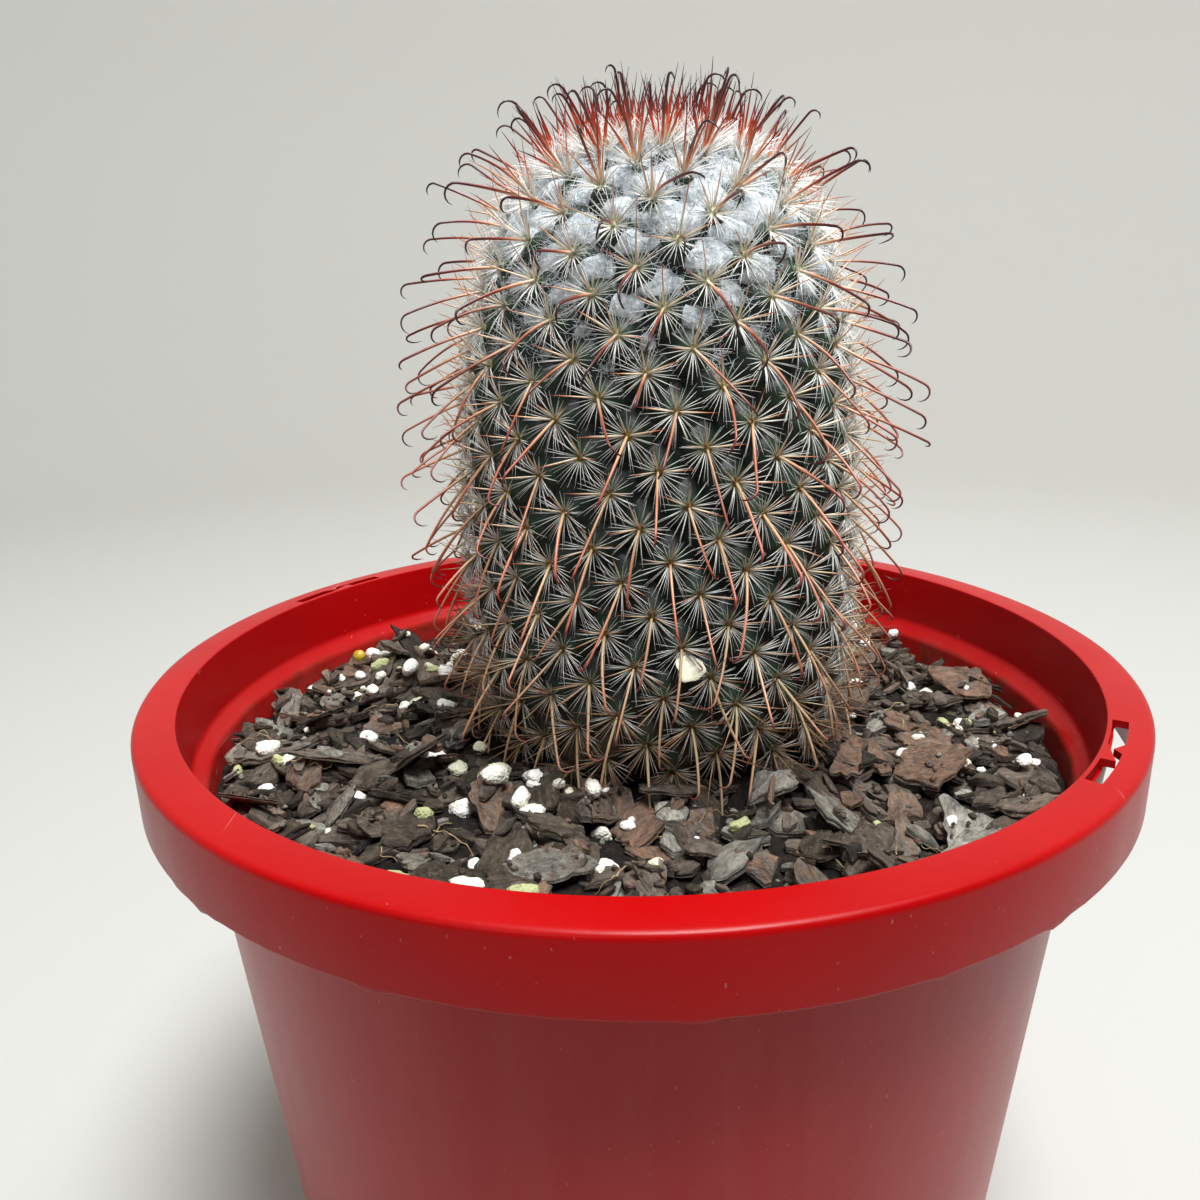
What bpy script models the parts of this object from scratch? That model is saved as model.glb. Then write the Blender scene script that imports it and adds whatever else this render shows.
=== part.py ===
"""A potted cactus: a short, hook-spined cactus in a red plastic nursery pot.

Metres, +Z up. The origin is the centre of the pot's foot ring, on the surface it stands on.
The pot's axis is +Z, and -Y is the side that is looked at from the front.
"""

import math
import random

import bmesh
import bpy
import numpy as np
from mathutils import Matrix, Vector

MM = 0.001
GAP = 0.35 * MM  # clearance between pieces that touch
SHARP_ANGLE = math.radians(35)  # round pieces are shaded smooth up to this angle between faces

# The pot: a squat 200 mm nursery pot with a folded-over rim.
POT_HEIGHT = 150 * MM
RIM_RADIUS = 100 * MM
RIM_BORE = 92.1 * MM
SKIRT_DEPTH = 13.2 * MM
SKIRT_WALL = 1.4 * MM
COLLAR_DEPTH = 12.4 * MM
COLLAR_WALL = 1.3 * MM
SHOULDER_DEPTH = 15.5 * MM
BODY_TOP_RADIUS = 89.7 * MM
BODY_TAPER = 0.086  # metres of radius lost for each metre of depth
BODY_WALL = 1.5 * MM
FOOT_RECESS = 3.0 * MM
FLOOR_THICKNESS = 2.0 * MM
FOOT_WIDTH = 3.5 * MM
POT_STEPS = 64

# Two hanger slots in the rim, opposite each other, just outside the collar's lip.
SLOT_AZIMUTHS = (math.radians(-33.0), math.radians(147.0))
SLOT_HALF_ANGLE = math.radians(8.2)
SLOT_INNER_RADIUS = 92.9 * MM
SLOT_OUTER_RADIUS = 95.5 * MM

# Narrow arc-shaped drain slots near the edge of the pot's floor.
DRAIN_COUNT = 8
DRAIN_RADIUS = 62.0 * MM
DRAIN_WIDTH = 3.6 * MM
DRAIN_LENGTH = 15.0 * MM

# The potting mix, a little higher round the stem than at the wall.
MIX_DEPTH_AT_WALL = 17.0 * MM
MIX_DEPTH_AT_STEM = 12.5 * MM

# The stem: widest a little above the rim, domed above and narrowing to a buried neck below.
STEM_X = 5.5 * MM
STEM_RADIUS = 38.5 * MM
STEM_WIDEST_Z = POT_HEIGHT + 12.0 * MM
STEM_TOP_Z = POT_HEIGHT + 98.5 * MM
STEM_NECK_Z = POT_HEIGHT - 40.0 * MM
DOME_POWER = 3.2
NECK_POWER = 2.2
AREOLE_AREA = 68.0 * MM * MM  # skin that belongs to one tubercle
CROWN_CROWDING = 0.3  # share of that area left to a tubercle at the very top
CROWN_ARC = 34.0 * MM  # distance from the top over which the tubercles open out
GOLDEN_ANGLE = math.radians(137.50776)
FIRST_AREOLE_AZIMUTH = math.radians(22.0)
AXIL_DEPTH = 2.0 * MM

# The long central spines with hooked tips.
SPINE_RADIUS = 0.42 * MM
HOOK_RADIUS = 1.5 * MM
HOOK_TURN = math.radians(160.0)


def start_empty():
    """Remove every object, and make one collection for the parts and one for the cutters."""
    for item in list(bpy.data.objects):
        bpy.data.objects.remove(item, do_unlink=True)
    parts = bpy.data.collections.new("potted_cactus")
    cutters = bpy.data.collections.new("cutters")
    bpy.context.scene.collection.children.link(parts)
    bpy.context.scene.collection.children.link(cutters)
    return parts, cutters


PARTS, CUTTERS = start_empty()


def material(name, colour, roughness):
    """A Principled material with one colour and one roughness."""
    made = bpy.data.materials.new(name)
    made.use_nodes = True
    shader = made.node_tree.nodes["Principled BSDF"]
    shader.inputs["Base Color"].default_value = (*colour, 1.0)
    shader.inputs["Roughness"].default_value = roughness
    shader.inputs["Metallic"].default_value = 0.0
    return made


POLYPROPYLENE = material("red_polypropylene", (0.62, 0.012, 0.010), 0.38)
MIX = material("potting_mix", (0.035, 0.026, 0.020), 0.95)
SKIN = material("cactus_skin", (0.035, 0.085, 0.045), 0.55)
SPINE = material("central_spine", (0.24, 0.035, 0.018), 0.45)
BARK = material("pine_bark", (0.13, 0.085, 0.062), 0.85)
PERLITE = material("perlite", (0.80, 0.78, 0.70), 0.80)
PRILL = material("coated_prill", (0.50, 0.36, 0.06), 0.30)
FLAKE = material("dry_flake", (0.72, 0.68, 0.45), 0.75)
STRAW = material("straw_fibre", (0.50, 0.40, 0.25), 0.80)


def add_object(name, mesh, look, collection=PARTS):
    """Put a mesh in a collection under a name, with one material."""
    item = bpy.data.objects.new(name, mesh)
    mesh.materials.append(look)
    collection.objects.link(item)
    return item


def mesh_from_bmesh(name, shape, rounded=False):
    """Turn a bmesh into a mesh, shaded smooth if it is a rounded piece."""
    bmesh.ops.recalc_face_normals(shape, faces=shape.faces)
    mesh = bpy.data.meshes.new(name)
    shape.to_mesh(mesh)
    shape.free()
    if rounded:
        mesh.shade_smooth()
    return mesh


def arc(centre_x, centre_z, radius, start, end, count):
    """Points on a circular arc in the profile plane, angles in degrees from +X towards +Z."""
    turns = [math.radians(start + (end - start) * i / (count - 1)) for i in range(count)]
    return [(centre_x + radius * math.cos(t), centre_z + radius * math.sin(t)) for t in turns]


def turned(name, profile, look, steps):
    """A profile of (radius, height) points swept round +Z with a Screw modifier."""
    mesh = bpy.data.meshes.new(name)
    edges = [(i, i + 1) for i in range(len(profile) - 1)]
    mesh.from_pydata([(x, 0.0, z) for x, z in profile], edges, [])
    item = add_object(name, mesh, look)
    screw = item.modifiers.new("turn", "SCREW")
    screw.steps = steps
    screw.render_steps = steps
    screw.use_merge_vertices = True
    screw.merge_threshold = 0.00002
    screw.use_smooth_shade = True
    return item


def frozen(item):
    """Replace an object's modifiers by the mesh they give, smooth except across sharp corners."""
    graph = bpy.context.evaluated_depsgraph_get()
    mesh = bpy.data.meshes.new_from_object(item.evaluated_get(graph))
    mesh.set_sharp_from_angle(angle=SHARP_ANGLE)
    item.modifiers.clear()
    item.data = mesh
    return item


def cut(item, cutter):
    """Take the cutter's volume away from the item."""
    cutter.hide_render = True
    cutter.display_type = "WIRE"
    boolean = item.modifiers.new("cut", "BOOLEAN")
    boolean.operation = "DIFFERENCE"
    boolean.object = cutter


def annular_sector(centre, half_angle, inner, outer, inner_notch=(), outer_notch=(), steps=6):
    """Outline of a ring segment; a notch is a list of (angle, radius) points that interrupts an edge."""

    def edge(radius, start, end, notch):
        spread = [start + (end - start) * i / steps for i in range(steps + 1)]
        if not notch:
            return [(angle, radius) for angle in spread]
        low, high = sorted((notch[0][0], notch[-1][0]))
        before = [(a, radius) for a in spread if (a < low if end > start else a > high)]
        after = [(a, radius) for a in spread if (a > high if end > start else a < low)]
        middle = list(notch) if end > start else list(reversed(notch))
        return before + middle + after

    outline = edge(outer, -half_angle, half_angle, outer_notch)
    outline += edge(inner, half_angle, -half_angle, inner_notch)
    return [(r * math.cos(centre + a), r * math.sin(centre + a)) for a, r in outline]


def extruded_cutter(name, outlines, low_z, high_z):
    """Closed prisms over plane outlines, all in one cutter object."""
    shape = bmesh.new()
    for outline in outlines:
        corners = [shape.verts.new((x, y, low_z)) for x, y in outline]
        base = shape.faces.new(corners)
        raised = bmesh.ops.extrude_face_region(shape, geom=[base])
        moved = [v for v in raised["geom"] if isinstance(v, bmesh.types.BMVert)]
        bmesh.ops.translate(shape, verts=moved, vec=(0.0, 0.0, high_z - low_z))
    return add_object(name, mesh_from_bmesh(name, shape), MIX, CUTTERS)


# ---- the pot ----

SHOULDER_Z = POT_HEIGHT - SHOULDER_DEPTH
COLLAR_FOOT_Z = POT_HEIGHT - COLLAR_DEPTH
FLOOR_TOP = FOOT_RECESS + FLOOR_THICKNESS


def body_radius(z):
    """Outer radius of the tapered wall at a height."""
    return BODY_TOP_RADIUS - BODY_TAPER * (SHOULDER_Z - z)


def pot_profile():
    """Inside from the floor's centre up to the lip, over the rim, and down the outside to the foot."""
    top = POT_HEIGHT
    flat_thickness = 1.4 * MM
    floor_round = 4.0 * MM
    inner_floor = body_radius(FLOOR_TOP) - BODY_WALL
    collar_foot = RIM_BORE - 1.0 * MM
    collar_back = RIM_BORE + COLLAR_WALL
    skirt_inside = RIM_RADIUS - SKIRT_WALL
    skirt_foot = top - SKIRT_DEPTH
    foot_edge = body_radius(0.0)
    rim_round = 1.9 * MM
    points = [(0.0, FLOOR_TOP)]
    points += arc(inner_floor - floor_round, FLOOR_TOP + floor_round, floor_round, -90, -5, 5)
    points += [(body_radius(60 * MM) - BODY_WALL, 60 * MM)]
    points += [(body_radius(SHOULDER_Z) - BODY_WALL, SHOULDER_Z)]
    points += [(collar_foot - 0.9 * MM, COLLAR_FOOT_Z - 0.9 * MM)]
    points += [(collar_foot, COLLAR_FOOT_Z + 0.4 * MM)]
    points += [(RIM_BORE - 0.1 * MM, top - 0.5 * MM)]
    points += [(RIM_BORE + 0.3 * MM, top)]
    points += [(RIM_RADIUS - rim_round - 0.4 * MM, top - 0.25 * MM)]
    points += arc(RIM_RADIUS - rim_round, top - 0.3 * MM - rim_round, rim_round, 80, 0, 5)
    points += [(RIM_RADIUS - 0.2 * MM, skirt_foot + 0.5 * MM)]
    points += [(RIM_RADIUS - 0.6 * MM, skirt_foot)]
    points += [(skirt_inside - 0.1 * MM, skirt_foot)]
    points += [(skirt_inside, top - flat_thickness - 1.2 * MM)]
    points += [(skirt_inside - 1.0 * MM, top - flat_thickness - 0.3 * MM)]
    points += [(collar_back + 0.6 * MM, top - flat_thickness)]
    points += [(collar_back, top - flat_thickness - 0.6 * MM)]
    points += [(collar_foot + COLLAR_WALL, COLLAR_FOOT_Z)]
    points += [(collar_foot + 0.2 * MM, COLLAR_FOOT_Z - 2.2 * MM)]
    points += [(BODY_TOP_RADIUS, SHOULDER_Z - 0.6 * MM)]
    points += [(body_radius(60 * MM), 60 * MM)]
    points += arc(foot_edge - 1.2 * MM, 1.2 * MM, 1.2 * MM, -5, -90, 4)
    points += [(foot_edge - FOOT_WIDTH, 0.0)]
    points += [(foot_edge - FOOT_WIDTH - 0.8 * MM, FOOT_RECESS)]
    points += [(0.0, FOOT_RECESS)]
    return points


def hanger_slot_outlines():
    """Ring-shaped slots with one tooth from the lip and one from the rim, which nearly meet."""
    degree = math.radians(1.0)
    lip_tooth = [(-2.6 * degree, SLOT_INNER_RADIUS), (-2.4 * degree, SLOT_OUTER_RADIUS - 0.5 * MM),
                 (1.4 * degree, SLOT_INNER_RADIUS)]
    rim_tooth = [(-0.4 * degree, SLOT_OUTER_RADIUS), (0.3 * degree, SLOT_INNER_RADIUS + 1.3 * MM),
                 (2.0 * degree, SLOT_OUTER_RADIUS)]
    return [annular_sector(azimuth, SLOT_HALF_ANGLE, SLOT_INNER_RADIUS, SLOT_OUTER_RADIUS,
                           inner_notch=lip_tooth, outer_notch=rim_tooth) for azimuth in SLOT_AZIMUTHS]


def drain_outlines():
    """Arc-shaped slots spaced evenly round the floor."""
    half = 0.5 * DRAIN_LENGTH / DRAIN_RADIUS
    inner = DRAIN_RADIUS - 0.5 * DRAIN_WIDTH
    outer = DRAIN_RADIUS + 0.5 * DRAIN_WIDTH
    return [annular_sector(2 * math.pi * i / DRAIN_COUNT, half, inner, outer, steps=4)
            for i in range(DRAIN_COUNT)]


def make_pot():
    """The turned pot with its hanger slots and drain slots cut through."""
    pot = frozen(turned("pot", pot_profile(), POLYPROPYLENE, POT_STEPS))
    over = 1.0 * MM
    slots = extruded_cutter("slot_cutter", hanger_slot_outlines(), POT_HEIGHT - 2.3 * MM, POT_HEIGHT + over)
    drains = extruded_cutter("drain_cutter", drain_outlines(), FOOT_RECESS - over, FLOOR_TOP + over)
    cut(pot, slots)
    cut(pot, drains)
    return pot


# ---- the stem ----


def stem_radius(z):
    """Radius over the tubercles' tips at a height: a super-ellipse above and below the widest place."""
    above = z >= STEM_WIDEST_Z
    reach = STEM_TOP_Z - STEM_WIDEST_Z if above else STEM_WIDEST_Z - STEM_NECK_Z
    power = DOME_POWER if above else NECK_POWER
    t = min(abs(z - STEM_WIDEST_Z) / reach, 1.0)
    return STEM_RADIUS * (1.0 - t ** power) ** (1.0 / power)


def mix_top(radius):
    """Height of the potting mix at a distance from the pot's axis."""
    wall = body_radius(SHOULDER_Z)
    share = min(radius / wall, 1.0)
    return POT_HEIGHT - MIX_DEPTH_AT_STEM - (MIX_DEPTH_AT_WALL - MIX_DEPTH_AT_STEM) * share ** 1.6


def areoles():
    """Tubercle tips from the top down: (height, radius, azimuth, latitude), one golden angle apart.

    Each tip takes the same area of skin, less near the top, so the number of tips above a height is
    the integral of the skin's area over the area per tip. The latitude is where the tip would sit on
    a globe, if the skin were spread over the globe without shear, as a Mercator map is rolled up.
    """
    heights = np.concatenate((STEM_TOP_Z - np.geomspace(1e-7, 4 * MM, 400),
                              np.linspace(STEM_TOP_Z - 4.02 * MM, STEM_NECK_Z + 0.5 * MM, 3600)))
    radii = np.array([stem_radius(z) for z in heights])
    step = np.hypot(np.diff(heights), np.diff(radii))
    distance = np.concatenate(([0.0], np.cumsum(step)))
    opened = np.clip(distance / CROWN_ARC, 0.0, 1.0)
    opened = opened * opened * (3 - 2 * opened)
    area = AREOLE_AREA * (CROWN_CROWDING + (1 - CROWN_CROWDING) * opened)
    ring = 2 * math.pi * 0.5 * (radii[1:] / area[1:] + radii[:-1] / area[:-1]) * step
    count = np.concatenate(([0.0], np.cumsum(ring)))
    mercator = np.concatenate(([0.0], np.cumsum(2 * step / (radii[1:] + radii[:-1]))))
    mercator = np.interp(STEM_WIDEST_Z, heights[::-1], mercator[::-1]) - mercator
    latitudes = 2 * np.arctan(np.exp(mercator)) - math.pi / 2
    tips = []
    for k in range(int(count[-1])):
        z = float(np.interp(k + 0.5, count, heights))
        latitude = float(np.interp(k + 0.5, count, latitudes))
        tips.append((z, stem_radius(z), FIRST_AREOLE_AZIMUTH + k * GOLDEN_ANGLE, latitude))
    return tips


def on_stem(z, radius, azimuth):
    """World point at a height, a radius and an azimuth about the stem's axis."""
    return Vector((STEM_X + radius * math.cos(azimuth), radius * math.sin(azimuth), z))


def make_stem(tips):
    """A skin over the tubercle tips, with every triangle between three tips pushed in.

    The tips are joined as their convex hull joins them on a globe, then moved to their own places.
    Each triangle above the mix is poked at its middle and the middle is moved inwards, so each tip
    stands up as a low pyramid. Below the mix the skin stays smooth.
    """
    ground = mix_top(STEM_RADIUS) - 1.0 * MM
    shape = bmesh.new()
    places = {}
    for z, radius, azimuth, latitude in tips:
        buried = 0.0 if z > ground else 0.5 * MM
        level = math.cos(latitude)
        vert = shape.verts.new((level * math.cos(azimuth), level * math.sin(azimuth), math.sin(latitude)))
        places[vert] = on_stem(z, max(radius - buried, 0.2 * MM), azimuth)
    bmesh.ops.convex_hull(shape, input=list(shape.verts))
    bmesh.ops.recalc_face_normals(shape, faces=shape.faces)
    for vert, place in places.items():
        vert.co = place
    skin = [f for f in shape.faces if min(v.co.z for v in f.verts) > ground]
    bmesh.ops.poke(shape, faces=skin, offset=-AXIL_DEPTH, center_mode="MEAN")
    return add_object("cactus_stem", mesh_from_bmesh("cactus_stem", shape), SKIN)


def make_potting_mix():
    """The mix that fills the pot, with a bowl-shaped hollow where the buried neck sits."""
    wall_gap = BODY_WALL + GAP
    low = FLOOR_TOP + GAP
    floor_corner = 4.6 * MM
    top_edge = body_radius(SHOULDER_Z) - wall_gap - 0.4 * MM
    edge_z = mix_top(top_edge)
    profile = [(r * top_edge, mix_top(r * top_edge)) for r in (0.0, 0.3, 0.55, 0.75, 0.9, 0.97)]
    profile += [(body_radius(edge_z) - wall_gap, edge_z - 0.6 * MM)]
    profile += [(body_radius(60 * MM) - wall_gap, 60 * MM)]
    profile += arc(body_radius(low) - wall_gap - floor_corner, low + floor_corner, floor_corner, -5, -90, 5)
    profile += [(0.0, low)]
    mix = frozen(turned("potting_mix", profile, MIX, 48))
    heights = [STEM_NECK_Z - 0.4 * MM]
    heights += [STEM_NECK_Z + d * MM for d in (0.6, 3.0, 7.0, 12.0, 18.0, 26.0, 34.0)]
    bowl = [(0.0, heights[-1])]
    bowl += [(stem_radius(z) + 0.5 * MM, z) for z in reversed(heights[1:])]
    bowl += [(0.0, heights[0])]
    hollow = frozen(turned("hollow_cutter", bowl, MIX, 40))
    PARTS.objects.unlink(hollow)
    CUTTERS.objects.link(hollow)
    hollow.location.x = STEM_X
    cut(mix, hollow)
    return mix


# ---- spines ----


def hooked_path(root, outward, downward, lean, length):
    """Points of a spine: a nearly straight shaft that leans from outward to downward, then a hook.

    The heading turns steadily by a few degrees along the shaft, and by HOOK_TURN round the hook.
    """
    shaft_steps = 3
    hook_steps = 5
    hook_length = HOOK_RADIUS * HOOK_TURN
    heading = lean
    point = root.copy()
    path = [point.copy()]
    for _ in range(shaft_steps):
        heading += math.radians(3.0)
        point += (outward * math.cos(heading) + downward * math.sin(heading)) * (length / shaft_steps)
        path.append(point.copy())
    for _ in range(hook_steps):
        heading += HOOK_TURN / hook_steps
        point += (outward * math.cos(heading) + downward * math.sin(heading)) * (hook_length / hook_steps)
        path.append(point.copy())
    return path


def tube(name, path, radius, look, thin_end=1.0):
    """A wire along a list of points with filled caps, tapering evenly to thin_end of its radius."""
    curve = bpy.data.curves.new(name, "CURVE")
    curve.dimensions = "3D"
    curve.bevel_depth = radius
    curve.bevel_resolution = 0
    curve.use_fill_caps = True
    spline = curve.splines.new("POLY")
    spline.points.add(len(path) - 1)
    last = len(path) - 1
    for i, place in enumerate(path):
        spline.points[i].co = (*place, 1.0)
        spline.points[i].radius = 1.0 + (thin_end - 1.0) * i / last
    curve.materials.append(look)
    item = bpy.data.objects.new(name, curve)
    PARTS.objects.link(item)
    return item


def surface_directions(z, azimuth):
    """Outward normal of the stem's envelope, and the direction straight down along it."""
    dz = 0.2 * MM
    slope = (stem_radius(min(z + dz, STEM_TOP_Z)) - stem_radius(z - dz)) / (2 * dz)
    radial = Vector((math.cos(azimuth), math.sin(azimuth), 0.0))
    down = (Vector((0.0, 0.0, -1.0)) - radial * slope).normalized()
    side = Vector((-math.sin(azimuth), math.cos(azimuth), 0.0))
    return down.cross(side).normalized(), down


def make_central_spines(tips):
    """Hooked central spines: a ring of long ones round the crown, and some down the sides."""
    crown = list(range(22, 36))
    sides = list(range(78, 294, 27))
    for number, k in enumerate(crown + sides, start=1):
        z, radius, azimuth, _ = tips[k]
        outward, downward = surface_directions(z, azimuth)
        in_crown = k in crown
        lean = math.radians(4.0) if in_crown else math.radians(40.0)
        length = 12.0 * MM if in_crown else 14.0 * MM
        root = on_stem(z, radius, azimuth) + outward * (GAP + SPINE_RADIUS)
        tube(f"central_spine_{number:02d}", hooked_path(root, outward, downward, lean, length),
             SPINE_RADIUS, SPINE, thin_end=0.7)


# ---- what lies on the mix ----


def lay_flat(shape, x, y, turn, lift):
    """Turn a shape about Z, then set it down on the mix at (x, y) with its lowest point lifted clear."""
    bmesh.ops.rotate(shape, verts=shape.verts, cent=(0, 0, 0), matrix=Matrix.Rotation(turn, 3, "Z"))
    bmesh.ops.translate(shape, verts=shape.verts, vec=(x, y, 0.0))
    clear = max(mix_top(math.hypot(v.co.x, v.co.y)) - v.co.z for v in shape.verts)
    bmesh.ops.translate(shape, verts=shape.verts, vec=(0.0, 0.0, clear + lift))


def chip_shape(rng, length, width, thickness):
    """A flake of bark: the convex hull of two unequal rings of points, one over the other."""
    shape = bmesh.new()
    corners = rng.randint(6, 8)
    for level, spread in ((-0.5, 0.88), (0.5, 1.0)):
        for i in range(corners):
            angle = 2 * math.pi * (i + 0.35 * rng.uniform(-1, 1)) / corners
            reach = spread * rng.uniform(0.82, 1.0)
            shape.verts.new((0.5 * length * reach * math.cos(angle), 0.5 * width * reach * math.sin(angle),
                             thickness * (level + 0.12 * rng.uniform(-1, 1))))
    bmesh.ops.convex_hull(shape, input=list(shape.verts))
    loose = [v for v in shape.verts if not v.link_faces]
    bmesh.ops.delete(shape, geom=loose, context="VERTS")
    return shape


def make_bark_chips():
    """Flat pieces of bark in a ring round the stem."""
    rng = random.Random(7)
    count = 14
    for i in range(count):
        azimuth = 2 * math.pi * i / count + 0.1
        distance = (58.0 if i % 2 else 70.0) * MM
        shape = chip_shape(rng, rng.uniform(13, 17) * MM, rng.uniform(8, 11) * MM, rng.uniform(2.0, 2.8) * MM)
        lay_flat(shape, distance * math.cos(azimuth), distance * math.sin(azimuth),
                 rng.uniform(0, math.pi), GAP)
        name = f"bark_chip_{i + 1:02d}"
        add_object(name, mesh_from_bmesh(name, shape), BARK)


def make_grain(name, azimuth, distance, radius, look, lumps, rng):
    """A small rounded grain: an icosphere with its points moved in and out by a share of the radius."""
    shape = bmesh.new()
    bmesh.ops.create_icosphere(shape, subdivisions=1, radius=radius)
    for vert in shape.verts:
        vert.co *= 1.0 + lumps * rng.uniform(-1, 1)
    lay_flat(shape, distance * math.cos(azimuth), distance * math.sin(azimuth), 0.0, GAP)
    add_object(name, mesh_from_bmesh(name, shape, rounded=True), look)


def make_grains():
    """White perlite grains between the chips, and one coated fertiliser prill at the back left."""
    rng = random.Random(11)
    count = 8
    for i in range(count):
        make_grain(f"perlite_grain_{i + 1:02d}", 2 * math.pi * i / count + 0.6, 82.0 * MM,
                   rng.uniform(1.7, 2.2) * MM, PERLITE, 0.16, rng)
    make_grain("fertiliser_prill", math.radians(153.0), 79.0 * MM, 1.6 * MM, PRILL, 0.02, rng)


def make_straw_fibres():
    """Three short dry fibres that lie over the mix near the wall."""
    for number, azimuth in enumerate((-0.55, 1.25, 3.55), start=1):
        path = []
        for i in range(6):
            angle = azimuth + 0.03 * (i - 2.5)
            distance = (76.5 + 1.2 * math.sin(1.3 * i)) * MM
            height = mix_top(distance) + (6.0 + 0.3 * math.sin(2.0 * i)) * MM
            path.append(Vector((distance * math.cos(angle), distance * math.sin(angle), height)))
        tube(f"straw_fibre_{number:02d}", path, 0.35 * MM, STRAW)


def make_dry_flake():
    """A thin papery flake caught on the front of the stem, just above the mix."""
    z = POT_HEIGHT + 10.0 * MM
    azimuth = math.radians(-84.0)
    outward, _ = surface_directions(z, azimuth)
    shape = bmesh.new()
    bmesh.ops.create_cone(shape, cap_ends=True, segments=9, radius1=2.7 * MM, radius2=2.5 * MM,
                          depth=0.5 * MM)
    for vert in shape.verts:
        angle = math.atan2(vert.co.y, vert.co.x)
        vert.co.x *= 1.0 - 0.16 * math.cos(2 * angle)
        vert.co.y *= 1.0 - 0.18 * math.sin(angle + 2.0)
    turn = outward.to_track_quat("Z", "Y").to_matrix()
    bmesh.ops.rotate(shape, verts=shape.verts, cent=(0, 0, 0), matrix=turn)
    place = on_stem(z, stem_radius(z) + 0.8 * MM, azimuth)
    bmesh.ops.translate(shape, verts=shape.verts, vec=place)
    add_object("dry_flake", mesh_from_bmesh("dry_flake", shape), FLAKE)


make_pot()
make_potting_mix()
TIPS = areoles()
make_stem(TIPS)
make_central_spines(TIPS)
make_bark_chips()
make_grains()
make_straw_fibres()
make_dry_flake()
print("tubercles:", len(TIPS))
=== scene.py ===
"""Looks of the potted cactus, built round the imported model.

Metres, +Z up, the pot's axis on +Z, -Y towards the front. Lengths below are written in millimetres
and multiplied by MM. Every piece is a numpy surface whose place is in its mesh.
"""

import math
from functools import partial

import bpy
import numpy as np
from mathutils import Matrix, Vector


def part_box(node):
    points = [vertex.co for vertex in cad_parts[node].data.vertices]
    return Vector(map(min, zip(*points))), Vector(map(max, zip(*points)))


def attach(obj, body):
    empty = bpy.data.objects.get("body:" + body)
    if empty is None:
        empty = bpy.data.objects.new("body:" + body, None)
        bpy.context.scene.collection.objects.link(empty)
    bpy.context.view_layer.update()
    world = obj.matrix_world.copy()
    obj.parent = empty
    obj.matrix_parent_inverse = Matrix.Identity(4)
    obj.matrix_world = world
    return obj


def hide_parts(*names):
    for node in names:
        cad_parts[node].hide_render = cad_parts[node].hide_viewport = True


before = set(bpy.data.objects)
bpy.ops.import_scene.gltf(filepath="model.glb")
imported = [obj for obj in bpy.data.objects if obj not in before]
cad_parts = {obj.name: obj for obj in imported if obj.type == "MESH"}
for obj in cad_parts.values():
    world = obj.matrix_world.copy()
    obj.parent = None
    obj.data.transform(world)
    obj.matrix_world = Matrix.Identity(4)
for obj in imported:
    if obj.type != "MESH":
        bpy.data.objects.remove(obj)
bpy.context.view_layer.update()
MM = 0.001
TAU = 2 * math.pi
pot_low, pot_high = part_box("pot")
stem_low, stem_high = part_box("cactus_stem")
POT_TOP = pot_high[2]
RIM_RADIUS = 0.5 * (pot_high[0] - pot_low[0])


# ---- meshes ----


def new_piece(name, points, faces, look, slot, fields=None):
    """A smooth mesh from an array of points and arrays of faces, riding on the root body.

    fields holds per-point vectors, stored as attributes that the materials read.
    """
    mesh = bpy.data.meshes.new(name)
    mesh.vertices.add(len(points))
    mesh.vertices.foreach_set("co", np.ascontiguousarray(points, dtype=np.float32).ravel())
    corners = np.concatenate([f.ravel() for f in faces]).astype(np.int32)
    counts = np.concatenate([np.full(len(f), f.shape[1]) for f in faces])
    starts = np.concatenate(([0], np.cumsum(counts)[:-1])).astype(np.int32)
    mesh.loops.add(len(corners))
    mesh.loops.foreach_set("vertex_index", corners)
    mesh.polygons.add(len(starts))
    mesh.polygons.foreach_set("loop_start", starts)
    mesh.polygons.foreach_set("use_smooth", np.full(len(starts), True))
    mesh.update(calc_edges=True)
    mesh.validate()
    for key, values in (fields or {}).items():
        layer = mesh.attributes.new(key, "FLOAT_VECTOR", "POINT")
        layer.data.foreach_set("vector", np.ascontiguousarray(values, dtype=np.float32).ravel())
    mesh.materials.append(look)
    piece = bpy.data.objects.new(name, mesh)
    bpy.context.scene.collection.objects.link(piece)
    if slot:
        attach(piece, "root")
    return piece


def shell_faces(rows, columns):
    """Faces of a shell closed round its columns, with a pole point before the first row and after the last.

    Rows run from the top pole to the bottom pole, columns anticlockwise seen from above, so faces
    point outwards. Point 0 is the top pole and the last point is the bottom pole.
    """
    v, u = np.meshgrid(np.arange(rows - 1), np.arange(columns), indexing="ij")
    after = (u + 1) % columns
    quads = 1 + np.stack((v * columns + u, (v + 1) * columns + u,
                          (v + 1) * columns + after, v * columns + after), -1).reshape(-1, 4)
    u = np.arange(columns)
    after = (u + 1) % columns
    top = np.stack((np.zeros(columns, int), 1 + u, 1 + after), -1)
    low = 1 + (rows - 1) * columns
    bottom = np.stack((np.full(columns, 1 + rows * columns), low + after, low + u), -1)
    return quads, np.concatenate((top, bottom))


def shell_points(top, rings, bottom):
    """Points of a shell: the top pole, the rings of shape (rows, columns, 3) and the bottom pole."""
    return np.concatenate((np.reshape(top, (1, 3)), rings.reshape(-1, 3), np.reshape(bottom, (1, 3))))


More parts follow.
